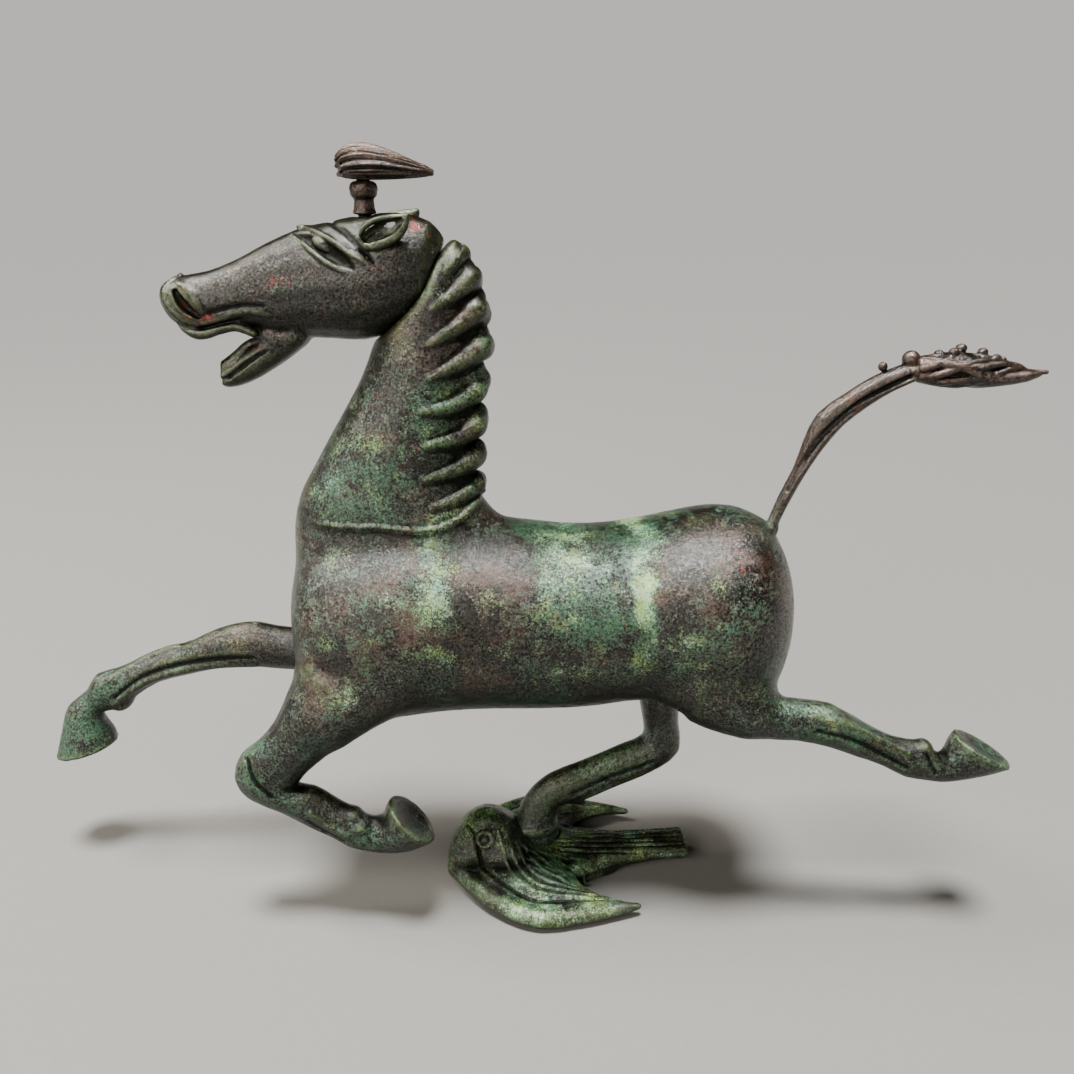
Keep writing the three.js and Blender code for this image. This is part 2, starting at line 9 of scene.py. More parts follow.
import bpy
import numpy as np
import openvdb
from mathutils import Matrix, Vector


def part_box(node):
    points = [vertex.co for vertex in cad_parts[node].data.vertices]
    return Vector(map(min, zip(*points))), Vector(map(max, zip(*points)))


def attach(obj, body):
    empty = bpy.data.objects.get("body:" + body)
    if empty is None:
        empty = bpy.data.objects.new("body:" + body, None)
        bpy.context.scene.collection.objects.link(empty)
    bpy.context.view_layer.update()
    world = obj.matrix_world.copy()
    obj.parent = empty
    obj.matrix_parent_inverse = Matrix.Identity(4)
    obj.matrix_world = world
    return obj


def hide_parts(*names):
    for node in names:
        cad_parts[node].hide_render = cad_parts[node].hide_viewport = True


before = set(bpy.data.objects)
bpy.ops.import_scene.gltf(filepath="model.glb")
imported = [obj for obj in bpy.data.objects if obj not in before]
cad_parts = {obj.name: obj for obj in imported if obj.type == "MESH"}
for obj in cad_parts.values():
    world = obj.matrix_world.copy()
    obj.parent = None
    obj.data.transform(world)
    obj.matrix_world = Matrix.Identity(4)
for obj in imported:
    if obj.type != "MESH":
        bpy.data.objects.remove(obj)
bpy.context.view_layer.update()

MM = 0.001  # one millimetre in metres
BAND = 7.0  # how far from a surface its distance is known, in mm
LEFT, RIGHT = -1, 1  # sides of the horse along Y
HALF_WIDTH = 50  # more than the horse's half width, in mm
ADD, CARVE = False, True  # what a stroke does

# --- distance fields


class Field:
    """Distances to a surface on a block of grid points. Inside is negative."""

    def __init__(self, low, high, step, margin=2.5):
        self.step = step
        self.first = np.floor((np.array(low) - margin) / step).astype(int)
        last = np.ceil((np.array(high) + margin) / step).astype(int)
        self.d = np.full(tuple(last - self.first + 1), BAND, np.float32)

    def copy(self):
        twin = object.__new__(Field)
        twin.step, twin.first, twin.d = self.step, self.first, self.d.copy()
        return twin

    def axes(self, part=(slice(None),) * 3):
        """The x, y and z of the grid points in a part of the block, ready to broadcast."""
        values = []
        for axis in range(3):
            numbers = (np.arange(self.d.shape[axis])[part[axis]] + self.first[axis]) * self.step
            shape = [1, 1, 1]
            shape[axis] = -1
            values.append(numbers.reshape(shape).astype(np.float32))
        return values

    def part(self, low, high):
        """Slices that cover a box, cut to the block."""
        start = np.floor(np.array(low) / self.step).astype(int) - self.first
        stop = np.ceil(np.array(high) / self.step).astype(int) - self.first + 1
        start = np.clip(start, 0, self.d.shape)
        stop = np.clip(stop, 0, self.d.shape)
        return tuple(slice(a, b) for a, b in zip(start, stop))

    def at(self, points):
        """Distances at the given points, by trilinear interpolation."""
        place = points / self.step - self.first
        base = np.clip(np.floor(place).astype(int), 0, np.array(self.d.shape) - 2)
        f = np.clip(place - base, 0, 1).astype(np.float32)
        total = np.zeros(len(points), np.float32)
        for corner in range(8):
            bits = [(corner >> axis) & 1 for axis in range(3)]
            weight = np.prod([f[:, a] if bits[a] else 1 - f[:, a] for a in range(3)], axis=0)
            i, j, k = (base[:, a] + bits[a] for a in range(3))
            total += weight * self.d[i, j, k]
        return total


def node_mesh(*nodes):
    """Vertices in mm and triangles of some CAD nodes, with shared corners merged."""
    corners = []
    for node in nodes:
        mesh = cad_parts[node].data
        mesh.calc_loop_triangles()
        points = np.empty(len(mesh.vertices) * 3, np.float32)
        mesh.vertices.foreach_get("co", points)
        tris = np.empty(len(mesh.loop_triangles) * 3, np.int32)
        mesh.loop_triangles.foreach_get("vertices", tris)
        corners.append(points.reshape(-1, 3)[tris] / MM)
    soup = np.round(np.concatenate(corners), 3)
    points, index = np.unique(soup, axis=0, return_inverse=True)
    return points.astype(np.float32), index.reshape(-1, 3).astype(np.uint32)


def distance(field, points, tris):
    """Distances to a closed mesh on the grid of a field."""
    grid = openvdb.FloatGrid.createLevelSetFromPolygons(
        points,
        triangles=tris,
        transform=openvdb.createLinearTransform(field.step),
        halfWidth=math.ceil(BAND / field.step),
    )
    values = np.empty(field.d.shape, np.float32)
    grid.copyToArray(values, ijk=tuple(int(i) for i in field.first))
    return np.clip(values, -BAND, BAND)


def resampled(field, source):
    """The distances of a smooth field on the grid of another one."""
    values = source.d
    outside = np.zeros(field.d.shape, bool)
    for axis, numbers in enumerate(field.axes()):
        place = numbers.ravel() / source.step - source.first[axis]
        last = source.d.shape[axis] - 1
        outside |= ((place < 0) | (place > last)).reshape(numbers.shape)
        base = np.clip(np.floor(place).astype(int), 0, last - 1)
        share = np.clip(place - base, 0, 1).reshape(numbers.shape).astype(np.float32)
        near = np.take(values, base, axis=axis)
        values = near + share * (np.take(values, base + 1, axis=axis) - near)
    return np.where(outside, np.float32(BAND), values)


def surface(field, level=0.0):
    """Points and quads of the surface at a level of a field."""
    grid = openvdb.FloatGrid(BAND)
    grid.transform = openvdb.createLinearTransform(field.step)
    grid.copyFromArray(field.d, ijk=tuple(int(i) for i in field.first))
    points, quads = grid.convertToQuads(level)
    return points.astype(np.float32), quads.astype(np.int64)


def largest_part(points, faces):
    """Keeps the connected part with the most faces."""
    label = np.arange(len(points))
    flat = faces.ravel()
    while True:
        low = np.repeat(label[faces].min(axis=1), faces.shape[1])
        new = label.copy()
        np.minimum.at(new, flat, low)
        new = new[new]
        if np.array_equal(new, label):
            break
        label = new
    owner = label[faces[:, 0]]
    names, counts = np.unique(owner, return_counts=True)
    faces = faces[owner == names[counts.argmax()]]
    used, index = np.unique(faces, return_inverse=True)
    return points[used], index.reshape(faces.shape)


def blur(values, radius_mm, step):
    """Gaussian smoothing of a block of values."""
    sigma = radius_mm / step
    reach = max(1, int(round(2.5 * sigma)))
    weights = np.exp(-0.5 * (np.arange(-reach, reach + 1) / sigma) ** 2)
    weights = (weights / weights.sum()).astype(np.float32)
    for axis in range(3):
        pad = [(0, 0)] * 3
        pad[axis] = (reach, reach)
        wide = np.pad(values, pad, mode="edge")
        total = np.zeros_like(values)
        length = values.shape[axis]
        for i, weight in enumerate(weights):
            part = [slice(None)] * 3
            part[axis] = slice(i, i + length)
            total += weight * wide[tuple(part)]
        values = total
    return values


def smooth(values, radius_mm, step):
    """Takes away facets and keeps the volume: a blur, plus what the blur itself would lose."""
    once = blur(values, radius_mm, step)
    return 2 * once - blur(once, radius_mm, step)


def join(a, b, blend):
    """Union of two distances, with a fillet about as wide as blend."""
    overlap = np.maximum(blend - np.abs(a - b), 0) / blend
    return np.minimum(a, b) - overlap * overlap * blend / 4


def cut(a, b, blend):
    """Takes b away from a, with a rounded edge."""
    return -join(-a, b, blend)


# --- sculpting


def curve(rows, count):
    """A smooth line through rows of numbers, resampled to count rows."""
    rows = np.array(rows, float)
    ends = np.vstack([2 * rows[0] - rows[1], rows, 2 * rows[-1] - rows[-2]])
    result = []
    for t in np.linspace(0, len(rows) - 1, count):
        i = min(int(t), len(rows) - 2)
        f = t - i
        p0, p1, p2, p3 = ends[i : i + 4]
        bend = 2 * p0 - 5 * p1 + 4 * p2 - p3 + f * (3 * (p1 - p2) + p3 - p0)
        result.append(p1 + 0.5 * f * (p2 - p0 + f * bend))
    return np.array(result)


def stroke(field, rows, blend=1.0, carve=False, count=None):
    """Adds or carves a round line. A row is [x, y, z, radius] in mm."""
    line = curve(rows, count or 6 * (len(rows) - 1) + 1)
    reach = line[:, 3].max() + blend + 1
    part = field.part(line[:, :3].min(axis=0) - reach, line[:, :3].max(axis=0) + reach)
    tool = np.full(field.d[part].shape, BAND, np.float32)
    if tool.size == 0:
        return
    for (ax, ay, az, ar), (bx, by, bz, br) in zip(line[:-1], line[1:]):
        low = np.minimum([ax, ay, az], [bx, by, bz]) - reach
        high = np.maximum([ax, ay, az], [bx, by, bz]) + reach
        small = field.part(low, high)
        x, y, z = field.axes(small)
        ux, uy, uz = bx - ax, by - ay, bz - az
        length = max(ux * ux + uy * uy + uz * uz, 1e-9)
        t = np.clip(((x - ax) * ux + (y - ay) * uy + (z - az) * uz) / length, 0, 1)
        gap = np.sqrt((x - ax - t * ux) ** 2 + (y - ay - t * uy) ** 2 + (z - az - t * uz) ** 2)
        inner = tuple(slice(s.start - p.start, s.stop - p.start) for s, p in zip(small, part))
        tool[inner] = np.minimum(tool[inner], gap - (ar + t * (br - ar)))
    combine = cut if carve else join
    field.d[part] = combine(field.d[part], tool, blend)


def ball(field, centre, radii, blend=1.0, carve=False, pitch=0.0):
    """Adds or carves an ellipsoid, pitched about the Y axis by an angle in degrees."""
    reach = max(radii) + blend + 1
    part = field.part(np.array(centre) - reach, np.array(centre) + reach)
    x, y, z = field.axes(part)
    c, s = math.cos(math.radians(pitch)), math.sin(math.radians(pitch))
    along = (x - centre[0]) * c + (z - centre[2]) * s
    up = (z - centre[2]) * c - (x - centre[0]) * s
    size = np.sqrt((along / radii[0]) ** 2 + ((y - centre[1]) / radii[1]) ** 2 + (up / radii[2]) ** 2)
    tool = ((size - 1) * min(radii)).astype(np.float32)
    combine = cut if carve else join
    field.d[part] = combine(field.d[part], tool, blend)


def outermost(field, start, direction, reach):
    """The last point inside the surface on a ray."""
    steps = np.arange(0, reach, 0.25)[:, None]
    points = np.array(start, float) + steps * np.array(direction, float)
    inside = np.nonzero(field.at(points) < 0)[0]
    return points[inside[-1]] if len(inside) else points[0]


def side_stroke(field, side, rows, lift, blend, carve=False, middle=0.0):
    """A stroke laid on one side of the horse. A row is [x, z, radius]. lift raises it."""
    line = []
    for x, z, radius in curve(rows, 4 * (len(rows) - 1) + 1):
        y = outermost(field, (x, middle, z), (0, side, 0), HALF_WIDTH)[1]
        line.append([x, y + side * lift, z, radius])
    stroke(field, line, blend, carve, count=len(line))


def top_stroke(field, rows, lift=0.0, **options):
    """A stroke laid on top of a surface. A row is [x, y, radius]."""
    line = []
    for x, y, radius in curve(rows, 4 * (len(rows) - 1) + 1):
        z = outermost(field, (x, y, 1.0), (0, 0, 1), 60)[2]
        line.append([x, y, z + lift, radius])
    stroke(field, line, count=len(line), **options)


def offset_rows(corner, rows):
    """Moves rows that begin with x and z from a node's low corner to the frame."""
    x, z = corner
    return [[row[0] + x, row[1] + z, *row[2:]] for row in rows]


def side_strokes(field, side, corner, lines, middle=0.0):
    """Strokes on one side of the horse. A line is (rows, lift, blend), and ADD or CARVE."""
    for rows, lift, blend, carve in lines:
        side_stroke(field, side, offset_rows(corner, rows), lift, blend, carve, middle)


# --- surface grain


def value_noise(points, cell, seed):
    """Smooth random values from -1 to 1 that change over one cell, in mm."""
    place = points / cell
    base = np.floor(place).astype(np.int64)
    f = place - base
    f = f * f * (3 - 2 * f)
    total = np.zeros(len(points))
    for corner in range(8):
        bits = [(corner >> axis) & 1 for axis in range(3)]
        key = np.full(len(points), seed * 374761393, np.int64)
        for axis, prime in enumerate((73856093, 19349663, 83492791)):
            key = key ^ ((base[:, axis] + bits[axis]) * prime)
        key = ((key ^ (key >> 13)) * 1274126177) & 0xFFFFFFFF
        value = ((key ^ (key >> 16)) & 0xFFFF) / 32767.5 - 1
        weight = np.prod([f[:, a] if bits[a] else 1 - f[:, a] for a in range(3)], axis=0)
        total += weight * value
    return total


def vertex_normals(points, quads):
    a, b, c, d = (points[quads[:, i]] for i in range(4))
    face = np.cross(c - a, d - b)
    normals = np.zeros_like(points)
    for axis in range(3):
        for i in range(4):
            normals[:, axis] += np.bincount(quads[:, i], face[:, axis], len(points))
    return normals / np.maximum(np.linalg.norm(normals, axis=1, keepdims=True), 1e-12)


def relax(points, quads, rounds):
    """Evens out the grid's small steps without moving the surface."""
    edges = np.vstack([quads[:, [i, (i + 1) % 4]] for i in range(4)])
    count = np.bincount(edges[:, 0], minlength=len(points))
    count = np.maximum(count + np.bincount(edges[:, 1], minlength=len(points)), 1)
    for weight in [0.5, -0.52] * rounds:
        mean = np.empty_like(points)
        for axis in range(3):
            total = np.bincount(edges[:, 0], points[edges[:, 1], axis], len(points))
            total += np.bincount(edges[:, 1], points[edges[:, 0], axis], len(points))
            mean[:, axis] = total / count
        points = points + weight * (mean - points)
    return points


def roughen(points, normals, amount):
    """Casting unevenness: slow waves, a fine crust and scattered pits."""
    slow = value_noise(points, 9.0, 1) * 0.10
    crust = value_noise(points, 2.6, 2) * 0.06 + value_noise(points, 1.3, 3) * 0.03
    pits = np.maximum(value_noise(points, 2.2, 4) - 0.72, 0) * -0.8
    return points + normals * ((slow + crust + pits) * amount)[:, None]


def facing_out(points, quads):
    a, b, c, d = (points[quads[:, i]] for i in range(4))
    volume = np.einsum("ij,ij->", a, np.cross(b, c)) + np.einsum("ij,ij->", a, np.cross(c, d))
    return quads[:, ::-1] if volume < 0 else quads


def make_piece(node, field, material, grain=1.0):
    """Meshes a field into the casting that stands for a CAD node."""
    points, quads = largest_part(*surface(field))
    points = relax(points, quads, 3)
    quads = facing_out(points, quads)
    soft = field.copy()
    soft.d = blur(field.d, 1.6, field.step)
    ridge = np.clip(soft.at(points) / 0.5, -1, 1)
    points = roughen(points, vertex_normals(points, quads), grain)
    name = node + "_surface"
    mesh = bpy.data.meshes.new(name)
    mesh.vertices.add(len(points))
    mesh.vertices.foreach_set("co", (points * MM).astype(np.float32).ravel())
    mesh.loops.add(quads.size)
    mesh.loops.foreach_set("vertex_index", quads.astype(np.int32).ravel())
    mesh.polygons.add(len(quads))
    mesh.polygons.foreach_set("loop_start", np.arange(0, quads.size, 4, dtype=np.int32))
    mesh.update(calc_edges=True)
    mesh.validate()
    mesh.shade_smooth()
    values = mesh.attributes.new("ridge", "FLOAT", "POINT").data
    values.foreach_set("value", ridge.astype(np.float32))
    mesh.materials.append(material)
    piece = bpy.data.objects.new(name, mesh)
    bpy.context.scene.collection.objects.link(piece)
    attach(piece, "root")
    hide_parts(node)
    return piece


# --- places in the frame


def box_mm(node):
    low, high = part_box(node)
    return np.array(low) / MM, np.array(high) / MM


def corner_of(node):
    """The x and z of a node's low front corner."""
    low, _ = box_mm(node)
    return low[0], low[2]


def node_field(node, step, radius, margin=3.0):
    """A field round a node that holds its distance, with the facets smoothed away."""
    field = Field(*box_mm(node), step, margin)
    field.d = smooth(distance(field, *node_mesh(node)), radius, step)
    return field


def triangles(quads):
    return np.vstack([quads[:, [0, 1, 2]], quads[:, [0, 2, 3]]]).astype(np.uint32)


SHELLS = ("chest_casting", "barrel_casting", "hindquarter_casting")
LEGS = ("left_fore_leg", "right_fore_leg", "left_hind_leg", "right_hind_leg")
FRONT_SEAM = box_mm("chest_casting")[1][0]
REAR_SEAM = box_mm("hindquarter_casting")[0][0]
NECK_SEAM = box_mm("neck_casting")[0][2]
BELLY_Z = box_mm("barrel_casting")[0][2]
STEM_X = np.mean(box_mm("crest_stem"), axis=0)[0]

SKIN_STEP = 0.9
SKIN_CLOSE = 1.3  # wide enough to close the seams and bores of the shells
TRUNK_SMOOTH = 5.5
NECK_SMOOTH = 3.0
LEG_STEP = 0.5
LEG_SMOOTH = 1.5
LEG_FILLET = 6.9  # kept under BAND, because a wider blend would swell the whole surface
LEG_MARGIN = 12
ROOT_MARGIN = 26  # wide enough to hold a root's strokes
# Pieces that sit in bores of the shells.
HIDDEN = (
    "left_fore_dowel", "right_fore_dowel", "left_hind_dowel", "head_dowel",
    "standing_leg_rod", "tail_stalk",
)
IRON_NAMES = ("_dowel", "_rod", "_sleeve", "_washer", "_nut")  # how the iron pieces' names end


def body_skin():
    """The outer skin of trunk and neck as one closed, smooth field."""
    names = SHELLS + ("neck_casting",)
    boxes = [box_mm(name) for name in names]
    low = np.min([b[0] for b in boxes], axis=0)
    high = np.max([b[1] for b in boxes], axis=0)
    field = Field(low, high, SKIN_STEP, margin=5)
    field.d = distance(field, *node_mesh(*names))
    for name in HIDDEN:
        field.d = np.minimum(field.d, distance(field, *node_mesh(name)) + 0.8)
    x, _, z = field.axes()
    far = np.maximum(np.maximum(x - high[0], low[0] - x), np.maximum(low[2] - z, z - high[2]))
    field.d = np.maximum(field.d, far)
    points, quads = largest_part(*surface(field, SKIN_CLOSE))
    closed = distance(field, points, triangles(quads)) + SKIN_CLOSE
    trunk = smooth(closed, TRUNK_SMOOTH, SKIN_STEP)
    neck = smooth(closed, NECK_SMOOTH, SKIN_STEP)
    share = np.clip((z - NECK_SEAM - 2) / 20, 0, 1)
    field.d = trunk + share * (neck - trunk)
    points, quads = largest_part(*surface(field))
    field.d = distance(field, points, triangles(quads))
    return field


BODY = body_skin()
CORES = {
    "left_fore_leg": "left_fore_dowel",
    "right_fore_leg": "right_fore_dowel",
    "left_hind_leg": "left_hind_dowel",
    "right_hind_leg": "standing_leg_rod",
}


# Flesh that leads each left leg out of the trunk. A row is [x, y, z, radius] in mm.
ROOTS = {
    "left_fore_leg": [[-56, -24, 128, 12], [-68, -26, 121, 16], [-80, -27.5, 114, 17],
                      [-90, -29, 106, 15]],
    "left_hind_leg": [[56, -25, 124, 9], [66, -25.5, 119.5, 13.5], [78, -26.5, 113.5, 14.5],
                      [90, -27.5, 108.5, 13]],
}


def smooth_leg(node):
    """A leg with its facets smoothed away and the bore for its dowel or rod filled."""
    margin = ROOT_MARGIN if node in ROOTS else LEG_MARGIN
    field = node_field(node, LEG_STEP, LEG_SMOOTH, margin)
    field.d = np.minimum(field.d, distance(field, *node_mesh(CORES[node])) - 0.4)
    if node in ROOTS:
        stroke(field, ROOTS[node], blend=5)
    return field


SMOOTH_LEGS = {node: smooth_leg(node) for node in LEGS}


def body_and_legs(field, legs):
    """Distances to the whole horse without head and tail, and to its trunk alone."""
    trunk = resampled(field, BODY)
    whole = trunk
    for leg in legs:
        whole = join(whole, resampled(field, SMOOTH_LEGS[leg]), LEG_FILLET)
    return whole, trunk


def keep(field, beyond):
    """Keeps the part of a field on its own side of a seam.

    beyond is the distance past the seam. There the surface dives under its neighbour, and
    it ends 4 mm on.
    """
    dive = 0.02 * np.maximum(beyond + 1.5, 0) + 0.02 * np.maximum(beyond, 0) ** 3
    field.d = np.maximum(field.d + dive, beyond - 4)


# --- body and neck


def seam_bead(field):
    """The thin raised line round the foot of the neck."""
    x, z = corner_of("neck_casting")
    rows = [[8, -5], [20.6, -5], [27.5, -4.8], [37.2, -4.4], [45.2, -5.4], [54.9, -6.4],
            [63, -5.8], [70.3, -3.6], [76, 0], [80, 4]]
    line = [[x + dx, z + dz, 0.95] for dx, dz in rows]
    for side in (LEFT, RIGHT):
        side_stroke(field, side, line, lift=-0.1, blend=1.2)


def body_piece(node, legs, beyond, material):
    low, high = box_mm(node)
    field = Field(low, high, 0.7, margin=5.5)
    field.d, trunk = body_and_legs(field, legs)
    seam_bead(field)
    x, _, z = field.axes()
    keep(field, np.maximum(beyond(x, z), trunk - 1.5))
    return make_piece(node, field, material, grain=1.0)


# Each lock of the mane: its upper edge over the side of the neck, from its front to its end
# on the nape. Rows are [behind and above the corner of the neck casting, radius].
MANE_LOCKS = [
    [[67, 97, 2.4], [71, 103, 3.8], [76.5, 104, 4.4]],
    [[62.5, 84, 2.2], [70, 90, 4.2], [76, 95.5, 5.0], [81, 94, 5.2]],
    [[60.5, 70, 2.2], [70, 77, 4.4], [78, 83.5, 5.4], [84.5, 81, 5.6]],
    [[60, 56.5, 2.2], [71, 63.5, 4.6], [79.5, 69, 5.6], [85.6, 68.5, 5.8]],
    [[57, 43.5, 2.2], [68, 46, 4.6], [77, 51.5, 5.6], [83.8, 54.5, 5.8]],
    [[57, 29.5, 2.2], [69, 32, 4.6], [77, 37, 5.6], [82.5, 40, 5.8]],
    [[57, 15.5, 2.2], [69, 19, 4.6], [76.5, 23, 5.4], [81.5, 24.5, 5.4]],
    [[60, 3.5, 2.0], [70, 6.5, 3.8], [77, 10, 4.4], [80.5, 10.5, 4.4]],
]
LOCK_RISE = 0.42  # share of a lock's radius that stands out of the neck


def sculpt_mane(field):
    corner = corner_of("neck_casting")
    base = field.copy()
    for rows in MANE_LOCKS:
        locks = offset_rows(corner, rows)
        nape_x, nape_z, nape_radius = locks[-1]
        for side in (LEFT, RIGHT):
            line = []
            for x, z, radius in curve(locks[:-1], 9):
                y = outermost(base, (x, 0, z), (0, side, 0), HALF_WIDTH)[1]
                line.append([x, y - side * radius * (1 - LOCK_RISE), z - 0.55 * radius, radius])
            line.append([nape_x - nape_radius, 0, nape_z - 0.5 * nape_radius, nape_radius])
            stroke(field, line, blend=0.8)


def neck_piece(material):
    low, high = box_mm("neck_casting")
    field = Field(low, high, 0.55, margin=5.5)
    field.d, _ = body_and_legs(field, ())
    seam_bead(field)
    sculpt_mane(field)
    keep(field, NECK_SEAM - 0.15 - field.axes()[2])
    return make_piece("neck_casting", field, material, grain=0.9)


# --- head


def sculpt_muzzle(field, corner, side):
    """The smooth rim round the nose that runs into the lip, the nostril and the gum under it."""
    rim = [[8.4, 45, 0.8], [5.2, 42.4, 1.1], [3.9, 38.8, 1.3], [4.7, 35.2, 1.4], [7.2, 31.6, 1.4],
           [10.6, 28.6, 1.4], [15.9, 26.9, 1.4], [20, 27.6, 1.3], [26.2, 29.4, 1.3],
           [31.3, 31.2, 1.3], [38, 32.2, 1.1], [46, 31, 0.7]]
    gum = [[8.6, 27.6, 1.2], [11.2, 25.2, 1.9], [15, 23.2, 2.4], [19, 23.0, 2.1], [24, 24.6, 2.0],
           [30, 25.8, 2.0], [34, 25.0, 2.0], [38, 23.4, 1.8]]
    under_rim = [[9.6, 26.2, 0.5], [13, 25.0, 0.7], [18, 25.2, 0.8], [26, 27.2, 0.8], [34, 28.8, 0.7]]
    above_rim = [[19.5, 30.8, 0.8], [26, 32.6, 0.9], [35, 34.6, 0.8], [44, 34.6, 0.5]]
    nostril = [[8.6, 39.6, 1.2], [10.6, 36.2, 1.9], [13.2, 33.0, 2.1], [16.8, 30.2, 1.3]]
    wing = [[9.5, 42.6, 0.6], [13.6, 40.4, 1.2], [16.8, 36, 1.4], [19.2, 31.6, 0.8]]
    lip_z = corner[1] + 29.5
    inset = 2.0
    line = []
    for x, z, radius in curve(offset_rows(corner, gum), 29):
        y = outermost(field, (x, 0, lip_z), (0, side, 0), 30)[1]
        line.append([x, y - side * inset, z, radius])
    stroke(field, line, blend=1.0, count=len(line))
    lines = (
        (above_rim, 0.5, 1.4, CARVE),
        (rim, -0.7, 1.0, ADD),
        (wing, -0.6, 1.6, ADD),
        (under_rim, 0.2, 0.6, CARVE),
        (nostril, -0.7, 0.5, CARVE),
    )
    side_strokes(field, side, corner, lines)


def sculpt_jaw(field, corner, side):
    """The flat band along the lower lip, with a groove between it and the chin."""
    lip = [[20, 7.4, 2.4], [25, 9.7, 2.6], [30, 13.4, 2.7], [34.6, 17.2, 2.6], [41, 20, 1.6]]
    groove = [[19, 2.6, 0.7], [25.6, 5.0, 0.9], [30, 8.2, 1.0], [36, 12.6, 1.0], [42, 16, 0.7]]
    side_strokes(field, side, corner, ((lip, -2.1, 0.5, ADD), (groove, 0.2, 0.7, CARVE)))


def sculpt_eye(field, corner, side):
    """A long almond eye: a round eyeball in a hollow, between two sharp lids and under a brow."""
    x, z = corner
    socket = [[57, 61.6, 1.0], [63.5, 59.8, 2.4], [70, 56.8, 3.0], [76.5, 53.0, 2.6], [81, 49.8, 0.9]]
    lower = [[55, 61.4, 0.5], [60.2, 58.9, 0.8], [65, 55.6, 1.0], [70.6, 51.8, 1.0], [77.4, 48.2, 0.4]]
    upper = [[57, 64.0, 0.5], [63, 63.4, 0.8], [69.4, 61.2, 1.1], [75, 58.4, 1.1], [80, 55, 0.9],
             [85.6, 51.8, 0.4]]
    brow = [[70, 66, 0.6], [76.6, 63.6, 1.0], [81, 60.2, 1.0], [86.4, 55.4, 0.9], [89, 52, 0.4]]
    side_strokes(field, side, corner, ((socket, 0.4, 1.2, CARVE),))
    y = outermost(field, (x + 70, 0, z + 57), (0, side, 0), 40)[1]
    ball(field, (x + 70.2, y - side * 1.2, z + 56.6), (6.6, 3.2, 3.2), blend=0.4, pitch=-32)
    lids = ((brow, 0.3, 1.6, CARVE), (lower, 0.1, 0.9, ADD), (upper, 0.1, 0.9, ADD))
    side_strokes(field, side, corner, lids)


def head_piece(material):
    field = node_field("head_casting", 0.4, 1.6)
    corner = corner_of("head_casting")
    x, z = corner
    dowel = distance(field, *node_mesh("head_dowel"))
    field.d = np.minimum(field.d, dowel - 0.8)
    ball(field, (STEM_X, 0, box_mm("crest_stem")[0][2] + 3), (4, 4, 4.6), blend=1.0)
    trough = [[x + 25, 0, z + 13, 2.6], [x + 33, 0, z + 19, 3.4], [x + 41, 0, z + 23, 3.4]]
    palate = [[x + 13, 0, z + 20.4, 2.6], [x + 24, 0, z + 21, 3.4], [x + 36, 0, z + 22, 3.4]]
    tongue = [[x + 27, 0, z + 11, 2.2], [x + 34, 0, z + 16, 2.8], [x + 44, 0, z + 20, 3.0]]
    stroke(field, trough, blend=1.0, carve=True)
    stroke(field, palate, blend=1.0, carve=True)
    stroke(field, tongue, blend=0.8)
    ball(field, (x + 46.5, 0, z + 22.5), (9.5, 9.2, 5.6), blend=2.5)
    for side in (LEFT, RIGHT):
        sculpt_muzzle(field, corner, side)
        sculpt_jaw(field, corner, side)
        sculpt_eye(field, corner, side)
    jaw_end, jaw_top = x + 22.4, z + 17
    across, _, up = field.axes()
    field.d = cut(field.d, np.maximum(across - jaw_end, up - jaw_top), 0.8)
    return make_piece("head_casting", field, material, grain=0.7)


def ear_piece(node, side, material):
    field = node_field(node, 0.35, 0.7, margin=3)
    corner = corner_of("head_casting")
    hollow = [[86.6, 60.6, 1.8], [90.6, 62.6, 3.0], [95.6, 64.6, 3.1], [100, 67.0, 1.6]]
    upper = [[83.6, 61.5, 1.0], [86, 64.8, 1.1], [90.3, 67.4, 1.0], [96, 68.6, 0.9], [102.2, 69.1, 0.7]]
    lower = [[83.6, 60.5, 1.3], [86.9, 57.6, 1.7], [92.7, 58.6, 1.7], [98.5, 61.2, 1.4],
             [101.6, 65, 1.1], [102.4, 68.8, 0.8]]
    for rows, y, blend, carve in (
        (upper, 18.1, 0.8, ADD), (lower, 18.7, 0.8, ADD), (hollow, 18.4, 0.6, CARVE),
    ):
        line = [[x, side * y, z, radius] for x, z, radius in offset_rows(corner, rows)]
        stroke(field, line, blend, carve)
    return make_piece(node, field, material, grain=0.4)


# --- crest


def crest_stem_piece(material):
    field = node_field("crest_stem", 0.3, 0.55, margin=2)
    return make_piece("crest_stem", field, material, grain=0.3)


def crest_leaf_piece(material):
    """A leaf-shaped shell with ribs from its round front to its tip."""
    low, high = box_mm("crest_leaf")
    field = node_field("crest_leaf", 0.3, 1.2, margin=2)
    ball(field, (STEM_X, 0, low[2] + 3.5), (4, 4, 3), blend=1.0)
    floor_z = low[2] + 2.2
    lines = 27
    smooth_field = field.copy()
    for i in range(lines):
        groove = i % 2 == 1
        angle = math.radians(-14 + 208 * i / (lines - 1))
        direction = (0, math.cos(angle), math.sin(angle))
        line = []
        for t in np.linspace(0.03, 0.985, 14):
            x = low[0] + t * (high[0] - low[0])
            point = outermost(smooth_field, (x, 0, floor_z), direction, 20)
            line.append([*point, (0.5 if groove else 0.8) - 0.25 * t])
        stroke(field, line, blend=0.35, carve=groove, count=len(line))
    return make_piece("crest_leaf", field, material, grain=0.25)


# --- legs


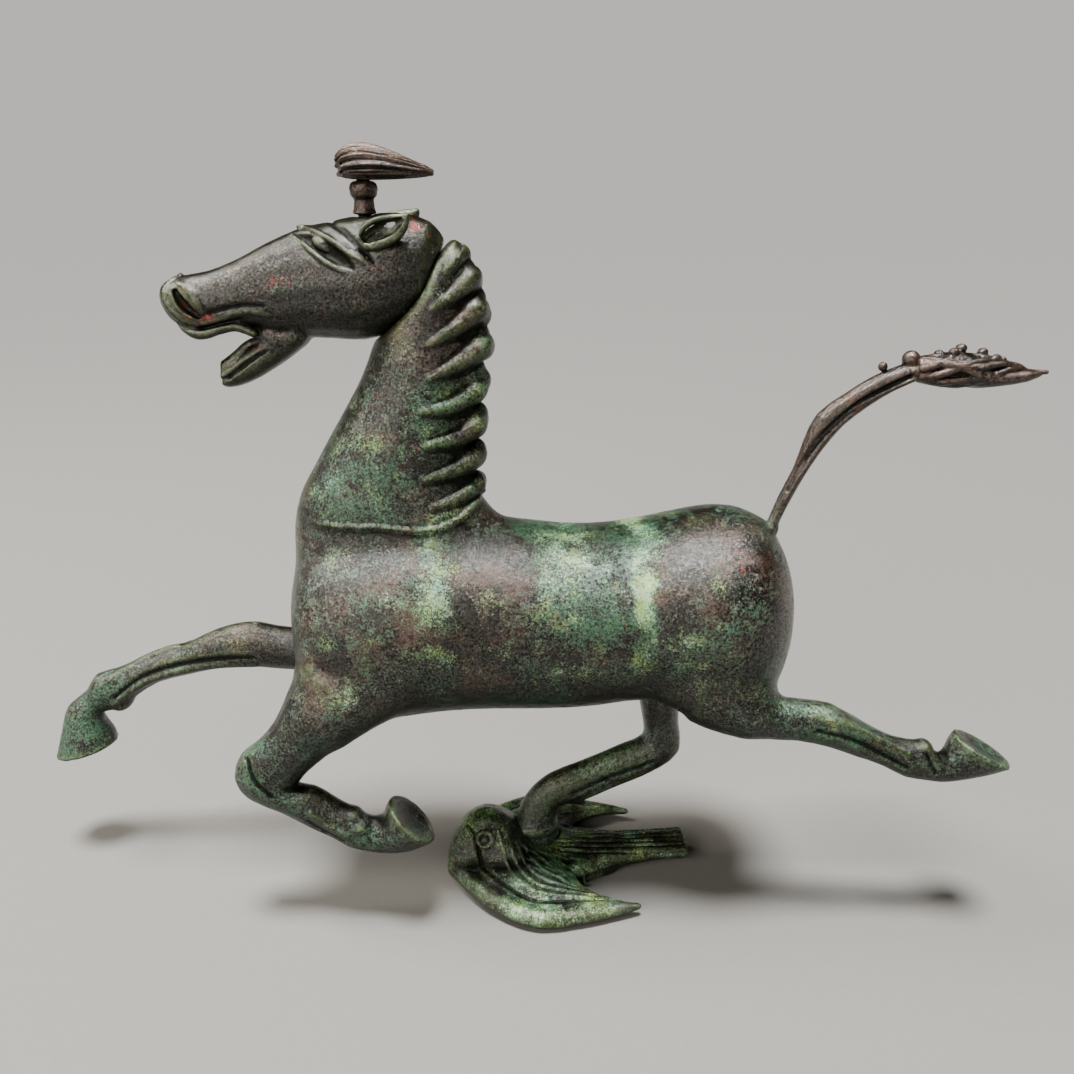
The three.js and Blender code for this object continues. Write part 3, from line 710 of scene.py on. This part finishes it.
def sole_plane(node):
    """Centre and outward normal of a hoof's flat sole: the leg's largest flat face."""
    points, tris = node_mesh(node)
    a, b, c = (points[tris[:, i]] for i in range(3))
    cross = np.cross(b - a, c - a)
    area = np.linalg.norm(cross, axis=1) / 2
    normal = cross / np.maximum(2 * area[:, None], 1e-9)
    key = np.round(np.hstack([normal, (normal * a).sum(1, keepdims=True) / 20]), 1)
    _, member = np.unique(key, axis=0, return_inverse=True)
    largest = np.bincount(member.ravel(), area).argmax()
    chosen = member.ravel() == largest
    centre = ((a + b + c)[chosen] / 3 * area[chosen, None]).sum(0) / area[chosen].sum()
    outward = (normal[chosen] * area[chosen, None]).sum(0)
    return centre, outward / np.linalg.norm(outward)


def hoof_ring(field, centre, normal, depth, radius, inset, blend):
    """A raised ring round the hoof, at a depth above its sole."""
    side_axis = np.array([0.0, 1.0, 0.0])
    other_axis = np.cross(normal, side_axis)
    start = centre - normal * depth
    line = []
    for turn in np.linspace(0, 2 * math.pi, 25):
        direction = math.cos(turn) * other_axis + math.sin(turn) * side_axis
        point = outermost(field, start, direction, 20) - direction * inset
        line.append([*point, radius])
    stroke(field, line, blend=blend, count=len(line))


def sculpt_hoof(field, node):
    """Thickens the hoof's rim and hollows its sole."""
    centre, normal = sole_plane(node)
    hoof_ring(field, centre, normal, depth=1.1, radius=1.1, inset=0.5, blend=0.6)
    cap_radius = 34
    hollow = centre + normal * (cap_radius - 1.3)
    ball(field, hollow, (cap_radius,) * 3, blend=0.5, carve=True)


def leg_piece(node, material):
    low, high = box_mm(node)
    field = Field(low, high, LEG_STEP, margin=5.5)
    field.d, trunk = body_and_legs(field, (node,))
    sculpt_hoof(field, node)
    LEG_DETAILS[node](field, corner_of(node))
    leg = resampled(field, SMOOTH_LEGS[node])
    keep(field, np.maximum(1.5 - trunk, leg - 5))
    return make_piece(node, field, material, grain=0.8)


def left_fore_details(field, corner):
    middle = -30
    x, z = corner
    tendon = [[34, 24, 1.2], [42, 17, 1.4], [50, 12.5, 1.2]]
    groove = [[32, 19, 0.8], [39, 13, 1.1], [47, 8.5, 0.8]]
    knee = [[8, 50, 0.8], [11, 41, 1.0], [18, 33, 0.8]]
    lines = ((tendon, -0.6, 2.0, ADD), (groove, 0.5, 1.8, CARVE), (knee, 0.3, 1.8, CARVE))
    ball(field, (x + 54.5, middle - 3.4, z + 15), (4.2, 4.2, 3.6), blend=1.6)
    ball(field, (x + 52, middle, z + 19.5), (3.4, 4.6, 3), blend=1.8)
    for side in (LEFT, RIGHT):
        side_strokes(field, side, corner, lines, middle)


def right_fore_details(field, corner):
    middle = 28
    x, z = corner
    tendon = [[34, 31.5, 1.2], [48, 42, 1.7], [66, 48.5, 1.7], [86, 52, 1.6], [104, 52.5, 1.2]]
    groove = [[36, 35.5, 0.8], [50, 45.8, 1.2], [68, 52.5, 1.3], [88, 56, 1.2], [104, 57, 0.8]]
    cannon = [[28, 41, 0.6], [44, 50, 1.1], [60, 57, 1.1], [72, 60.5, 0.5]]
    lines = ((cannon, -0.6, 2.2, ADD), (groove, 0.5, 1.8, CARVE), (tendon, -0.9, 2.0, ADD))
    for side in (LEFT, RIGHT):
        side_strokes(field, side, corner, lines, middle)
    ball(field, (x + 37, middle, z + 29.5), (4.6, 5.2, 3.2), blend=2.0, pitch=35)


def left_hind_details(field, corner):
    middle = -28.5
    x, z = corner
    tendon = [[52, 34.5, 1.2], [66, 31, 1.5], [80, 23, 1.5], [94, 16, 1.2]]
    groove = [[54, 29, 0.8], [68, 25, 1.2], [82, 17, 1.2], [94, 10.5, 0.8]]
    cleft = [[101, 20.5, 0.6], [104, 14, 0.9], [107, 8, 0.7]]
    lines = ((tendon, -0.7, 2.0, ADD), (groove, 0.5, 1.8, CARVE), (cleft, 0.3, 1.6, CARVE))
    for side in (LEFT, RIGHT):
        side_strokes(field, side, corner, lines, middle)
    ball(field, (x + 103, middle, z + 17.5), (3.4, 4.6, 2.6), blend=1.6, pitch=-20)


def right_hind_details(field, corner):
    """The standing leg's tendons, and a ring where its hoof meets the swallow."""
    middle = 19
    tendon = [[68, 42, 0.8], [60, 38.4, 1.3], [46, 33, 1.5], [32, 27.5, 1.2]]
    groove = [[68, 47, 0.8], [60, 43.4, 1.2], [44, 38, 1.2], [30, 32.5, 0.8]]
    lines = ((tendon, -0.7, 2.0, ADD), (groove, 0.5, 1.8, CARVE))
    ring_centre = np.array([-0.6, 15.0, 20.4])
    down = np.array([0.03, 0.0, -1.0])
    hoof_ring(field, ring_centre, down, depth=0.0, radius=2.3, inset=1.3, blend=1.6)
    for side in (LEFT, RIGHT):
        side_strokes(field, side, corner, lines, middle)


LEG_DETAILS = {
    "left_fore_leg": left_fore_details,
    "right_fore_leg": right_fore_details,
    "left_hind_leg": left_hind_details,
    "right_hind_leg": right_hind_details,
}


# --- tail


def tail_stalk_piece(material):
    field = node_field("tail_stalk", 0.4, 1.0, margin=4)
    corner = corner_of("tail_stalk")
    x, z = corner
    channel = [[14, 33, 0.8], [19.5, 45, 1.3], [27, 57.5, 1.6], [39, 69.5, 1.6], [50, 76.5, 1.5],
               [60, 82, 1.0]]
    fold = [[13.5, 28, 0.7], [18.5, 41, 0.9], [24, 54, 1.0], [36, 66.5, 1.1], [48, 74, 1.1],
            [62, 81, 0.9]]
    for side in (LEFT, RIGHT):
        side_strokes(field, side, corner, ((channel, -0.1, 1.2, CARVE), (fold, -0.2, 0.7, ADD)))
    root = [[x + 1, 0, z - 1, 6.4], [x + 4.5, 0, z + 6, 4.6], [x + 8.5, 0, z + 15, 3.2]]
    stroke(field, root, blend=1.5)
    ball(field, (x + 49.5, 0, z + 85.4), (2, 2, 2), blend=0.6)
    ball(field, (x + 60.8, 0, z + 88.4), (3.8, 3.7, 3.7), blend=0.8)
    return make_piece("tail_stalk", field, material, grain=0.5)


def tail_tuft_piece(material):
    """A bundle of strands that twist about each other and taper to the tip."""
    low, high = box_mm("tail_tuft")
    field = node_field("tail_tuft", 0.4, 1.0, margin=4)
    field.d = field.d + 1.5
    length = high[0] - low[0]
    strands = 17
    for i in range(strands):
        line = []
        share = 0.84 + 0.14 * ((i * 7) % 5) / 4
        for t in np.linspace(0, 1, 17):
            swell = math.sin(math.pi * min(1, 0.14 + 0.98 * t)) ** 0.6
            turn = 2 * math.pi * i / strands + 1.3 * math.sin(3.0 * t + 1.7 * i)
            y = 6.4 * swell * math.cos(turn)
            z = low[2] + 9.3 - 1.2 * t + 6.0 * swell * math.sin(turn)
            line.append([low[0] + t * length * share, y, z, 1.9 - 1.05 * t])
        stroke(field, line, blend=0.25, count=len(line))
    knobs = [[8, 15.4, 1.6], [12.4, 16.8, 1.8], [17, 17.6, 1.9], [21.4, 17.2, 1.8], [26, 16, 1.8],
             [30, 14.4, 1.6], [34.6, 12.8, 1.4], [47, 10.6, 1.4]]
    for i, (dx, dz, radius) in enumerate(knobs):
        shift = 2.4 * (-1) ** i
        ball(field, (low[0] + dx, shift, low[2] + dz), (radius * 1.3, radius, radius), blend=0.5)
    return make_piece("tail_tuft", field, material, grain=0.5)


# --- swallow


def bird_piece(material):
    low, high = box_mm("swallow_base")
    field = node_field("swallow_base", 0.5, 1.3, margin=3)
    z = field.axes()[2]
    field.d = np.maximum(field.d, -z)
    middle = (low[1] + high[1]) / 2
    for side in (LEFT, RIGHT):
        sculpt_wing(field, low, middle, side)
    sculpt_bird_back(field, low, middle)
    sculpt_bird_tail(field, low, high, middle)
    sculpt_bird_head(field, low, middle)
    field.d = np.maximum(field.d, -z + 0.05)
    return make_piece("swallow_base", field, material, grain=1.0)


def sculpt_wing(field, low, middle, side):
    """The round band along the leading edge, and the arcs of feathers behind it."""
    x0 = low[0]

    def spread(rows):
        return [[x0 + dx, middle + side * dy, *rest] for dx, dy, *rest in rows]

    band = [[3.5, 11, 5.2, 3.2], [13, 23.5, 5.6, 4.2], [26, 37, 5.2, 4.6], [43, 46.6, 4.8, 4.3],
            [62, 44.8, 4.4, 3.7], [79, 40.6, 4.4, 2.6], [90, 38.6, 4.8, 1.2]]
    groove = [[10, 10, 0.7], [17, 18.5, 0.9], [29, 31, 1.0], [43, 40.2, 1.1], [60, 39.8, 1.0],
              [76, 37.6, 0.7]]
    stroke(field, spread(band), blend=2.2)
    top_stroke(field, spread(groove), lift=0.2, blend=1.0, carve=True)
    arcs = 5
    for i in range(arcs):
        inset = 4.0 + 3.4 * i
        reach = 38 - 5.5 * i
        line = [
            [20 + inset * 1.2, 12 - 0.2 * i, 0.5],
            [26 + inset * 1.1, 24 - 0.5 * inset, 0.7],
            [33 + inset, 34 - 0.8 * inset, 0.75],
            [44 + inset * 0.7, 39.5 - 0.95 * inset, 0.75],
            [44 + reach * 0.62, 40.6 - 0.85 * inset, 0.65],
            [44 + reach, 39.6 - 0.6 * inset, 0.35],
        ]
        top_stroke(field, spread(line), lift=-0.1, blend=0.7)


def sculpt_bird_back(field, low, middle):
    """Short rows of feathers over the back and the roots of the wings."""
    x0 = low[0]
    for row in range(4):
        for i in range(-4, 5):
            if abs(i) < 2 and row < 2:
                continue
            x = x0 + 33 + 8.5 * row + 0.35 * i * i
            y = middle - 2 + i * 4.6
            shaft = [[x, y, 0.5], [x + 4, y + 0.35 * i, 0.75], [x + 7.5, y + 0.6 * i, 0.4]]
            top_stroke(field, shaft, lift=-0.2, blend=0.6)


def sculpt_bird_tail(field, low, high, middle):
    """Long feathers that end in a shallow fork."""
    x0, x1 = low[0], high[0]
    grooves = 7
    for i in range(grooves):
        share = -1 + 2 * i / (grooves - 1)
        line = [[x0 + 55, middle + 9 * share, 0.4], [x0 + 80, middle + 1.8 + 9.6 * share, 0.6],
                [x1 - 1.5, middle + 5.4 + 10.2 * share, 0.6]]
        top_stroke(field, line, lift=0.1, blend=0.6, carve=True)
    top_stroke(field, [[x1 - 6, middle + 5.4, 0.8], [x1 + 2, middle + 5.4, 2.4]], lift=0.2, blend=1.0,
               carve=True)


def sculpt_bird_head(field, low, middle):
    """A round eye in a ring on each side."""
    x0 = low[0]
    for side in (LEFT, RIGHT):
        centre = (x0 + 21.5, middle - 4, 25)
        eye = outermost(field, centre, (-0.25, side * 0.97, 0), 30)
        outward = np.array([-0.3, side * 0.85, 0.42])
        right = np.array([0.94, side * 0.33, 0.0])
        upward = np.cross(right, outward)
        ring = []
        for turn in np.linspace(0, 2 * math.pi, 25):
            spot = eye + 3.6 * (math.cos(turn) * right + math.sin(turn) * upward)
            point = outermost(field, spot - 6 * outward, outward, 12)
            ring.append([*point, 0.9])
        stroke(field, ring, blend=0.7, count=len(ring))
        ball(field, eye + 0.6 * outward, (2.4, 2.4, 2.4), blend=0.5, carve=True)
        ball(field, eye - 0.9 * outward, (2.1, 2.1, 2.1), blend=0.3)


# --- patina


class Nodes:
    """Short calls for the shader nodes of one material."""

    def __init__(self, name):
        self.material = bpy.data.materials.new(name)
        self.material.use_nodes = True
        self.tree = self.material.node_tree
        self.tree.nodes.clear()
        self.shader = self.add("BsdfPrincipled")
        self.add("OutputMaterial", {"Surface": self.shader.outputs[0]})
        place = self.add("TexCoord").outputs["Object"]
        self.mm = self.add("Mapping", {"Vector": place, "Scale": (1 / MM,) * 3}).outputs[0]

    def add(self, kind, inputs=None, **settings):
        """A new node of one kind, with its settings and its inputs."""
        node = self.tree.nodes.new("ShaderNode" + kind)
        for name, value in settings.items():
            setattr(node, name, value)
        for name, value in (inputs or {}).items():
            self.feed(node.inputs[name], value)
        return node

    def feed(self, socket, value):
        if isinstance(value, bpy.types.NodeSocket):
            self.tree.links.new(value, socket)
        else:
            socket.default_value = value

    def set(self, name, value):
        """Gives the surface shader a value, or links one to it."""
        self.feed(self.shader.inputs[name], value)

    def noise(self, size, detail=3.0, roughness=0.55, seed=0.0, distortion=0.0):
        """Noise from 0 to 1 whose blobs are about size mm wide."""
        inputs = {
            "Vector": self.mm,
            "W": seed,
            "Scale": 1 / size,
            "Detail": detail,
            "Roughness": roughness,
            "Distortion": distortion,
        }
        return self.add("TexNoise", inputs, noise_dimensions="4D").outputs["Fac"]

    def math(self, operation, a, b=0.0):
        return self.add("Math", {0: a, 1: b}, operation=operation).outputs[0]

    def step(self, value, low, high, top=1.0):
        """0 below low, top above high, smooth between."""
        inputs = {"Value": value, "From Min": low, "From Max": high, "To Max": top}
        return self.add("MapRange", inputs, interpolation_type="SMOOTHSTEP").outputs["Result"]

    def mix(self, share, a, b):
        node = self.add("Mix", {"Factor": share, "A": a, "B": b}, data_type="RGBA")
        return node.outputs["Result"]

    def ridge(self):
        return self.add("Attribute", attribute_name="ridge").outputs["Fac"]

    def axis(self, name):
        return self.add("SeparateXYZ", {0: self.mm}).outputs[name]

    def facing_down(self):
        """Share of painted shade on undersides: 1 where the surface faces the floor, less where it
        leans to it, 0 where it faces up.
        """
        normal = self.add("NewGeometry").outputs["Normal"]
        return self.step(self.add("SeparateXYZ", {0: normal}).outputs["Z"], 0.25, -0.75)

    def bump(self, height, distance_mm):
        inputs = {"Height": height, "Distance": distance_mm * MM, "Strength": 1.0}
        normal = self.add("Bump", inputs).outputs[0]
        self.set("Normal", normal)
        self.set("Coat Normal", normal)


def colour(red, green, blue):
    return (red, green, blue, 1.0)


DARK_BRONZE = colour(0.011, 0.0077, 0.0055)
BLACK_GREEN = colour(0.0055, 0.0072, 0.0033)
CUPRITE = colour(0.19, 0.018, 0.012)
BROWN_BRONZE = colour(0.046, 0.024, 0.016)
ROSE_BROWN = colour(0.120, 0.070, 0.050)
DEEP_MALACHITE = colour(0.005, 0.024, 0.012)
MALACHITE = colour(0.028, 0.100, 0.042)
OLIVE = colour(0.095, 0.135, 0.036)
PALE_GREEN = colour(0.30, 0.44, 0.24)
LIME = colour(0.27, 0.42, 0.11)
AQUA = colour(0.20, 0.44, 0.33)
TURQUOISE = colour(0.060, 0.24, 0.16)
# Near black: painted shade for hollows and for surfaces that face the floor.
PAINTED_SHADE = colour(0.004, 0.005, 0.003)
WARM = (1.0, 0.95, 0.86)  # light of the lamps

# How far each tone spreads on each part, from 0 to 1, and the tone of its edges, which is part wear and
# part painted highlight.
TONES = {
    "body": dict(green=0.56, brown=0.72, red=0.46, pale=0.62, turquoise=0.30, olive=0.40, edge=OLIVE),
    "neck": dict(green=0.60, brown=0.72, red=0.44, pale=0.70, turquoise=0.34, olive=0.34, edge=OLIVE),
    "head": dict(green=0.30, brown=0.50, red=0.55, pale=0.24, turquoise=0.10, olive=0.60, edge=OLIVE),
    "leg": dict(green=0.68, brown=0.34, red=0.20, pale=0.34, turquoise=0.42, olive=0.30, edge=OLIVE),
    "tail": dict(green=0.24, brown=0.80, red=0.40, pale=0.30, turquoise=0.05, olive=0.50,
                 edge=ROSE_BROWN),
    "crest": dict(green=0.28, brown=0.76, red=0.42, pale=0.40, turquoise=0.05, olive=0.60,
                  edge=ROSE_BROWN),
    # The swallow's paler crust is partly painted light, which makes up for the shade that the horse
    # casts on it.
    "bird": dict(green=0.62, brown=0.36, red=0.12, pale=0.84, turquoise=0.20, olive=0.36, edge=OLIVE),
}

# Parts whose tone changes with height: the lower tone, the upper tone, and the height in mm.
BLENDED_TONES = {
    "body": ("leg", "body", 105.0),
    "leg": ("leg", "body", 105.0),
    "tail": ("leg", "tail", 200.0),
}
TONE_FADE = 15.0  # mm above and below that height


def seam_bands(n):
    """The pale green bands that run round the trunk at its seams, from 0 to 1."""
    wander = n.math("MULTIPLY", n.math("SUBTRACT", n.noise(12, detail=4, seed=3.1), 0.5), 26)
    x = n.math("ADD", n.axis("X"), wander)
    total = None
    for seam, width, weight in ((FRONT_SEAM + 4, 13.0, 0.85), (REAR_SEAM - 2, 9.0, 1.0),
                                (REAR_SEAM - 34, 22.0, 0.75)):
        gap = n.math("ABSOLUTE", n.math("SUBTRACT", x, seam))
        band = n.math("MULTIPLY", n.math("SUBTRACT", 1.0, n.step(gap, 0.0, width)), weight)
        total = band if total is None else n.math("MAXIMUM", total, band)
    height = n.step(n.axis("Z"), BELLY_Z + 5, BELLY_Z + 70)
    return n.math("MULTIPLY", total, height)


def blend_of(n, *shares):
    """A weighted sum of values. Each share is a pair of value and weight."""
    total = None
    for value, weight in shares:
        part = n.math("MULTIPLY", value, weight)
        total = part if total is None else n.math("ADD", total, part)
    return total


def bronze(part, bands=False):
    """Waxed bronze under patches of cuprite, malachite and pale crust, with painted shade in hollows
    and on undersides and a painted highlight on ridges.
    """
    n = Nodes(part + "_patina")
    lower, upper, level = BLENDED_TONES.get(part, (part, part, 0.0))
    height_share = n.step(n.axis("Z"), level - TONE_FADE, level + TONE_FADE)

    def edge(tone, start, slope):
        """Where a patch begins, which moves from the lower tone to the upper one with height."""
        low, high = (start - slope * TONES[name][tone] for name in (lower, upper))
        if low == high:
            return low
        return n.math("ADD", n.math("MULTIPLY", height_share, high - low), low)

    def patches(mask, start, soft, top=1.0):
        return n.step(mask, start, n.math("ADD", start, soft), top)

    ridge = n.ridge()
    # Painted shade: the hollows are darkened towards near black.
    hollow_shade = n.step(n.math("MULTIPLY", ridge, -1.0), 0.06, 0.45)
    # Ridges take a lighter edge tone: partly wear, partly a painted highlight.
    edge_wear_and_highlight = n.step(ridge, 0.10, 0.60)
    zone = n.noise(42, detail=3, seed=1.0, distortion=0.3)
    patch = n.noise(7.5, detail=9, roughness=0.72, seed=2.0)
    small = n.noise(2.6, detail=8, roughness=0.75, seed=5.0)
    grain = n.noise(0.8, detail=4, roughness=0.7, seed=7.0)
    fleck = n.noise(1.0, detail=5, roughness=0.8, seed=9.0)

    base = n.mix(n.step(n.noise(5, detail=6, roughness=0.7, seed=11.0), 0.45, 0.56),
                 DARK_BRONZE, BLACK_GREEN)
    brown_mask = blend_of(n, (n.noise(22, detail=4, seed=12.0), 0.34), (patch, 0.18), (small, 0.22),
                          (fleck, 0.26))
    brown_edge = edge("brown", 0.60, 0.16)
    brown_share = patches(brown_mask, brown_edge, 0.07)
    base = n.mix(brown_share, base, BROWN_BRONZE)
    rose = n.step(n.noise(1.7, detail=6, roughness=0.75, seed=13.0), 0.50, 0.62, top=0.6)
    base = n.mix(n.math("MULTIPLY", rose, brown_share), base, ROSE_BROWN)
    red_mask = blend_of(n, (n.noise(15, detail=4, seed=17.0), 0.5),
                        (n.noise(2.2, detail=7, roughness=0.75, seed=18.0), 0.5))
    base = n.mix(patches(red_mask, edge("red", 0.66, 0.15), 0.05, top=0.9), base, CUPRITE)

    band = seam_bands(n) if bands else 0.0
    green_mask = blend_of(n, (zone, 0.24), (patch, 0.22), (small, 0.25), (fleck, 0.29),
                          (band, 0.055))
    green_share = patches(green_mask, edge("green", 0.60, 0.17), 0.05)
    green = n.mix(n.step(n.noise(1.5, detail=7, roughness=0.8, seed=21.0), 0.44, 0.58),
                  DEEP_MALACHITE, MALACHITE)
    olive = patches(n.noise(12, detail=6, roughness=0.65, seed=23.0), edge("olive", 0.66, 0.22), 0.10)
    green = n.mix(olive, green, OLIVE)
    turquoise = patches(n.noise(5.5, detail=7, roughness=0.7, seed=29.0),
                        edge("turquoise", 0.74, 0.20), 0.05)
    green = n.mix(turquoise, green, TURQUOISE)
    skin = n.mix(green_share, base, green)

    pale_mask = blend_of(n, (n.noise(14, detail=4, seed=31.0), 0.26), (patch, 0.14),
                         (n.noise(1.0, detail=7, roughness=0.85, seed=37.0), 0.60), (band, 0.065))
    pale_share = patches(pale_mask, edge("pale", 0.64, 0.15), 0.05, top=0.8)
    pale = n.mix(n.step(n.noise(11, detail=5, roughness=0.7, seed=47.0), 0.44, 0.56), PALE_GREEN, LIME)
    pale = n.mix(n.step(n.noise(14, detail=5, roughness=0.7, seed=53.0), 0.54, 0.62), pale, AQUA)
    skin = n.mix(pale_share, skin, pale)
    # Lighter edge tone on ridges: part wear, part painted highlight.
    edge_wear_and_highlight_share = n.math("MULTIPLY", edge_wear_and_highlight, n.step(small, 0.36, 0.58, top=0.32))
    skin = n.mix(edge_wear_and_highlight_share, skin, TONES[part]["edge"])
    # Painted shade: surfaces that face the floor, and the hollows, are darkened towards near black.
    underside_shade = n.facing_down()
    painted_shade_share = n.math("MAXIMUM", n.math("MULTIPLY", hollow_shade, 0.85), n.math("MULTIPLY", underside_shade, 0.7))
    skin = n.mix(painted_shade_share, skin, PAINTED_SHADE)
    n.set("Base Color", skin)

    crust = n.math("MAXIMUM", green_share, pale_share)
    n.set("Metallic", n.math("SUBTRACT", 0.6, n.math("MULTIPLY", crust, 0.5)))
    rough = blend_of(n, (crust, 0.12), (grain, 0.30))
    n.set("Roughness", n.math("ADD", rough, 0.18))
    # Speckled wax, taken off where shade is painted so that the painted shade gets no highlight.
    unshaded_wax = n.math("MULTIPLY", n.step(fleck, 0.38, 0.58), n.math("SUBTRACT", 1.0, painted_shade_share))
    n.set("Coat Weight", unshaded_wax)
    n.set("Specular IOR Level", n.math("MULTIPLY", unshaded_wax, 0.6))
    n.set("Coat IOR", 1.6)
    n.set("Coat Roughness", 0.11)
    height = blend_of(n, (small, 0.35), (grain, 0.45), (fleck, 0.45), (crust, 0.08))
    n.bump(height, 0.5)
    return n.material


def rusty_iron():
    """Dull iron with brown rust for the rod, the dowels, the nut and the sleeves."""
    n = Nodes("rusty_iron")
    patches = n.noise(4, detail=5, seed=41.0)
    grain = n.noise(0.7, detail=4, roughness=0.7, seed=43.0)
    skin = n.mix(n.step(patches, 0.42, 0.6), colour(0.05, 0.045, 0.042), colour(0.16, 0.065, 0.03))
    n.set("Base Color", skin)
    n.set("Metallic", n.math("SUBTRACT", 0.8, n.math("MULTIPLY", patches, 0.6)))
    n.set("Roughness", n.math("ADD", n.math("MULTIPLY", grain, 0.3), 0.45))
    n.bump(grain, 0.15)
    return n.material


def pale_floor():
    n = Nodes("pale_floor")
    grain = n.noise(2.0, detail=3, seed=51.0)
    cloth = n.mix(grain, colour(0.150, 0.145, 0.134), colour(0.172, 0.166, 0.155))
    n.set("Base Color", cloth)
    n.set("Roughness", 0.85)
    return n.material


# --- stage


def add_floor():
    """A plain floor, wide enough to reach the horizon and a hair below the swallow."""
    size = 40.0
    level = -0.0004
    mesh = bpy.data.meshes.new("floor")
    corners = [(-size, -size, level), (size, -size, level), (size, size, level), (-size, size, level)]
    mesh.from_pydata(corners, [], [(0, 1, 2, 3)])
    mesh.materials.append(pale_floor())
    add_to_scene("floor", mesh)


def add_to_scene(name, data):
    item = bpy.data.objects.new(name, data)
    bpy.context.scene.collection.objects.link(item)
    return item


def add_light(name, place, target, size, power):
    """A warm rectangular lamp at a place, aimed at a target."""
    light = bpy.data.lights.new(name, "AREA")
    light.shape = "RECTANGLE"
    light.size, light.size_y = size
    light.energy = power
    light.color = WARM
    lamp = add_to_scene(name, light)
    lamp.location = place
    direction = np.array(target, float) - np.array(place, float)
    yaw = math.atan2(direction[1], direction[0])
    pitch = math.atan2(-direction[2], math.hypot(direction[0], direction[1]))
    lamp.rotation_euler = (math.pi / 2 - pitch, 0, yaw - math.pi / 2)


def add_camera():
    """Level with the head, a little under half a metre away, looking down on the left side."""
    camera = bpy.data.cameras.new("camera")
    camera.lens = 36.03
    camera.sensor_width = 36
    camera.clip_start = 0.01
    view = add_to_scene("camera", camera)
    view.location = (0, -0.441, 0.3313)
    view.rotation_euler = (math.radians(90 - 19.4), 0, 0)
    bpy.context.scene.camera = view


def add_world(fill, backdrop):
    """Plain grey surroundings: a dim fill light that the camera sees as a pale backdrop."""
    world = bpy.data.worlds.new("studio")
    world.use_nodes = True
    tree = world.node_tree
    path = tree.nodes.new("ShaderNodeLightPath")
    strength = tree.nodes.new("ShaderNodeMapRange")
    strength.inputs["To Min"].default_value = fill
    strength.inputs["To Max"].default_value = backdrop
    back = tree.nodes["Background"]
    back.inputs["Color"].default_value = (0.985, 0.96, 0.915, 1)
    tree.links.new(path.outputs["Is Camera Ray"], strength.inputs["Value"])
    tree.links.new(strength.outputs["Result"], back.inputs["Strength"])
    bpy.context.scene.world = world


def add_sun(name, tilt, spread, energy):
    """A round lamp far overhead. tilt leans it towards the front and towards the viewer."""
    sun = bpy.data.lights.new(name, "SUN")
    sun.energy = energy
    sun.angle = math.radians(spread)
    lamp = add_to_scene(name, sun)
    forward, near = (math.radians(angle) for angle in tilt)
    lamp.rotation_euler = (near, -forward, 0)


def add_stage():
    add_floor()
    add_camera()
    add_world(fill=0.05, backdrop=0.635)
    add_sun("key_light", tilt=(1, 9), spread=15, energy=11.5)
    add_light("front_light", (-0.9, 0.1, 1.25), (-0.06, 0, 0.15), (0.35, 0.35), 20)
    add_light("window_light", (-0.75, -1.2, 0.75), (0, 0, 0.12), (0.9, 0.6), 24)


# --- the statue


# How far a point is past the seams of each shell of the body, in mm. Inside is negative.
def past_chest(x, z):
    return np.maximum(x - FRONT_SEAM, z - NECK_SEAM)


def past_barrel(x, z):
    return np.maximum(np.maximum(FRONT_SEAM - x, x - REAR_SEAM), z - NECK_SEAM)


def past_hindquarter(x, _):
    return REAR_SEAM - x


def build():
    body = bronze("body", bands=True)
    leg = bronze("leg")
    head = bronze("head")
    crest = bronze("crest")
    tail = bronze("tail")
    body_piece("chest_casting", LEGS[:2], past_chest, body)
    body_piece("barrel_casting", LEGS, past_barrel, body)
    body_piece("hindquarter_casting", LEGS[2:], past_hindquarter, body)
    neck_piece(bronze("neck"))
    head_piece(head)
    ear_piece("left_ear", LEFT, head)
    ear_piece("right_ear", RIGHT, head)
    crest_stem_piece(crest)
    crest_leaf_piece(crest)
    for node in LEGS:
        leg_piece(node, leg)
    tail_stalk_piece(tail)
    tail_tuft_piece(tail)
    bird_piece(bronze("bird"))
    iron = rusty_iron()
    for name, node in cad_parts.items():
        if name.endswith(IRON_NAMES):
            node.data.materials.clear()
            node.data.materials.append(iron)


build()
add_stage()
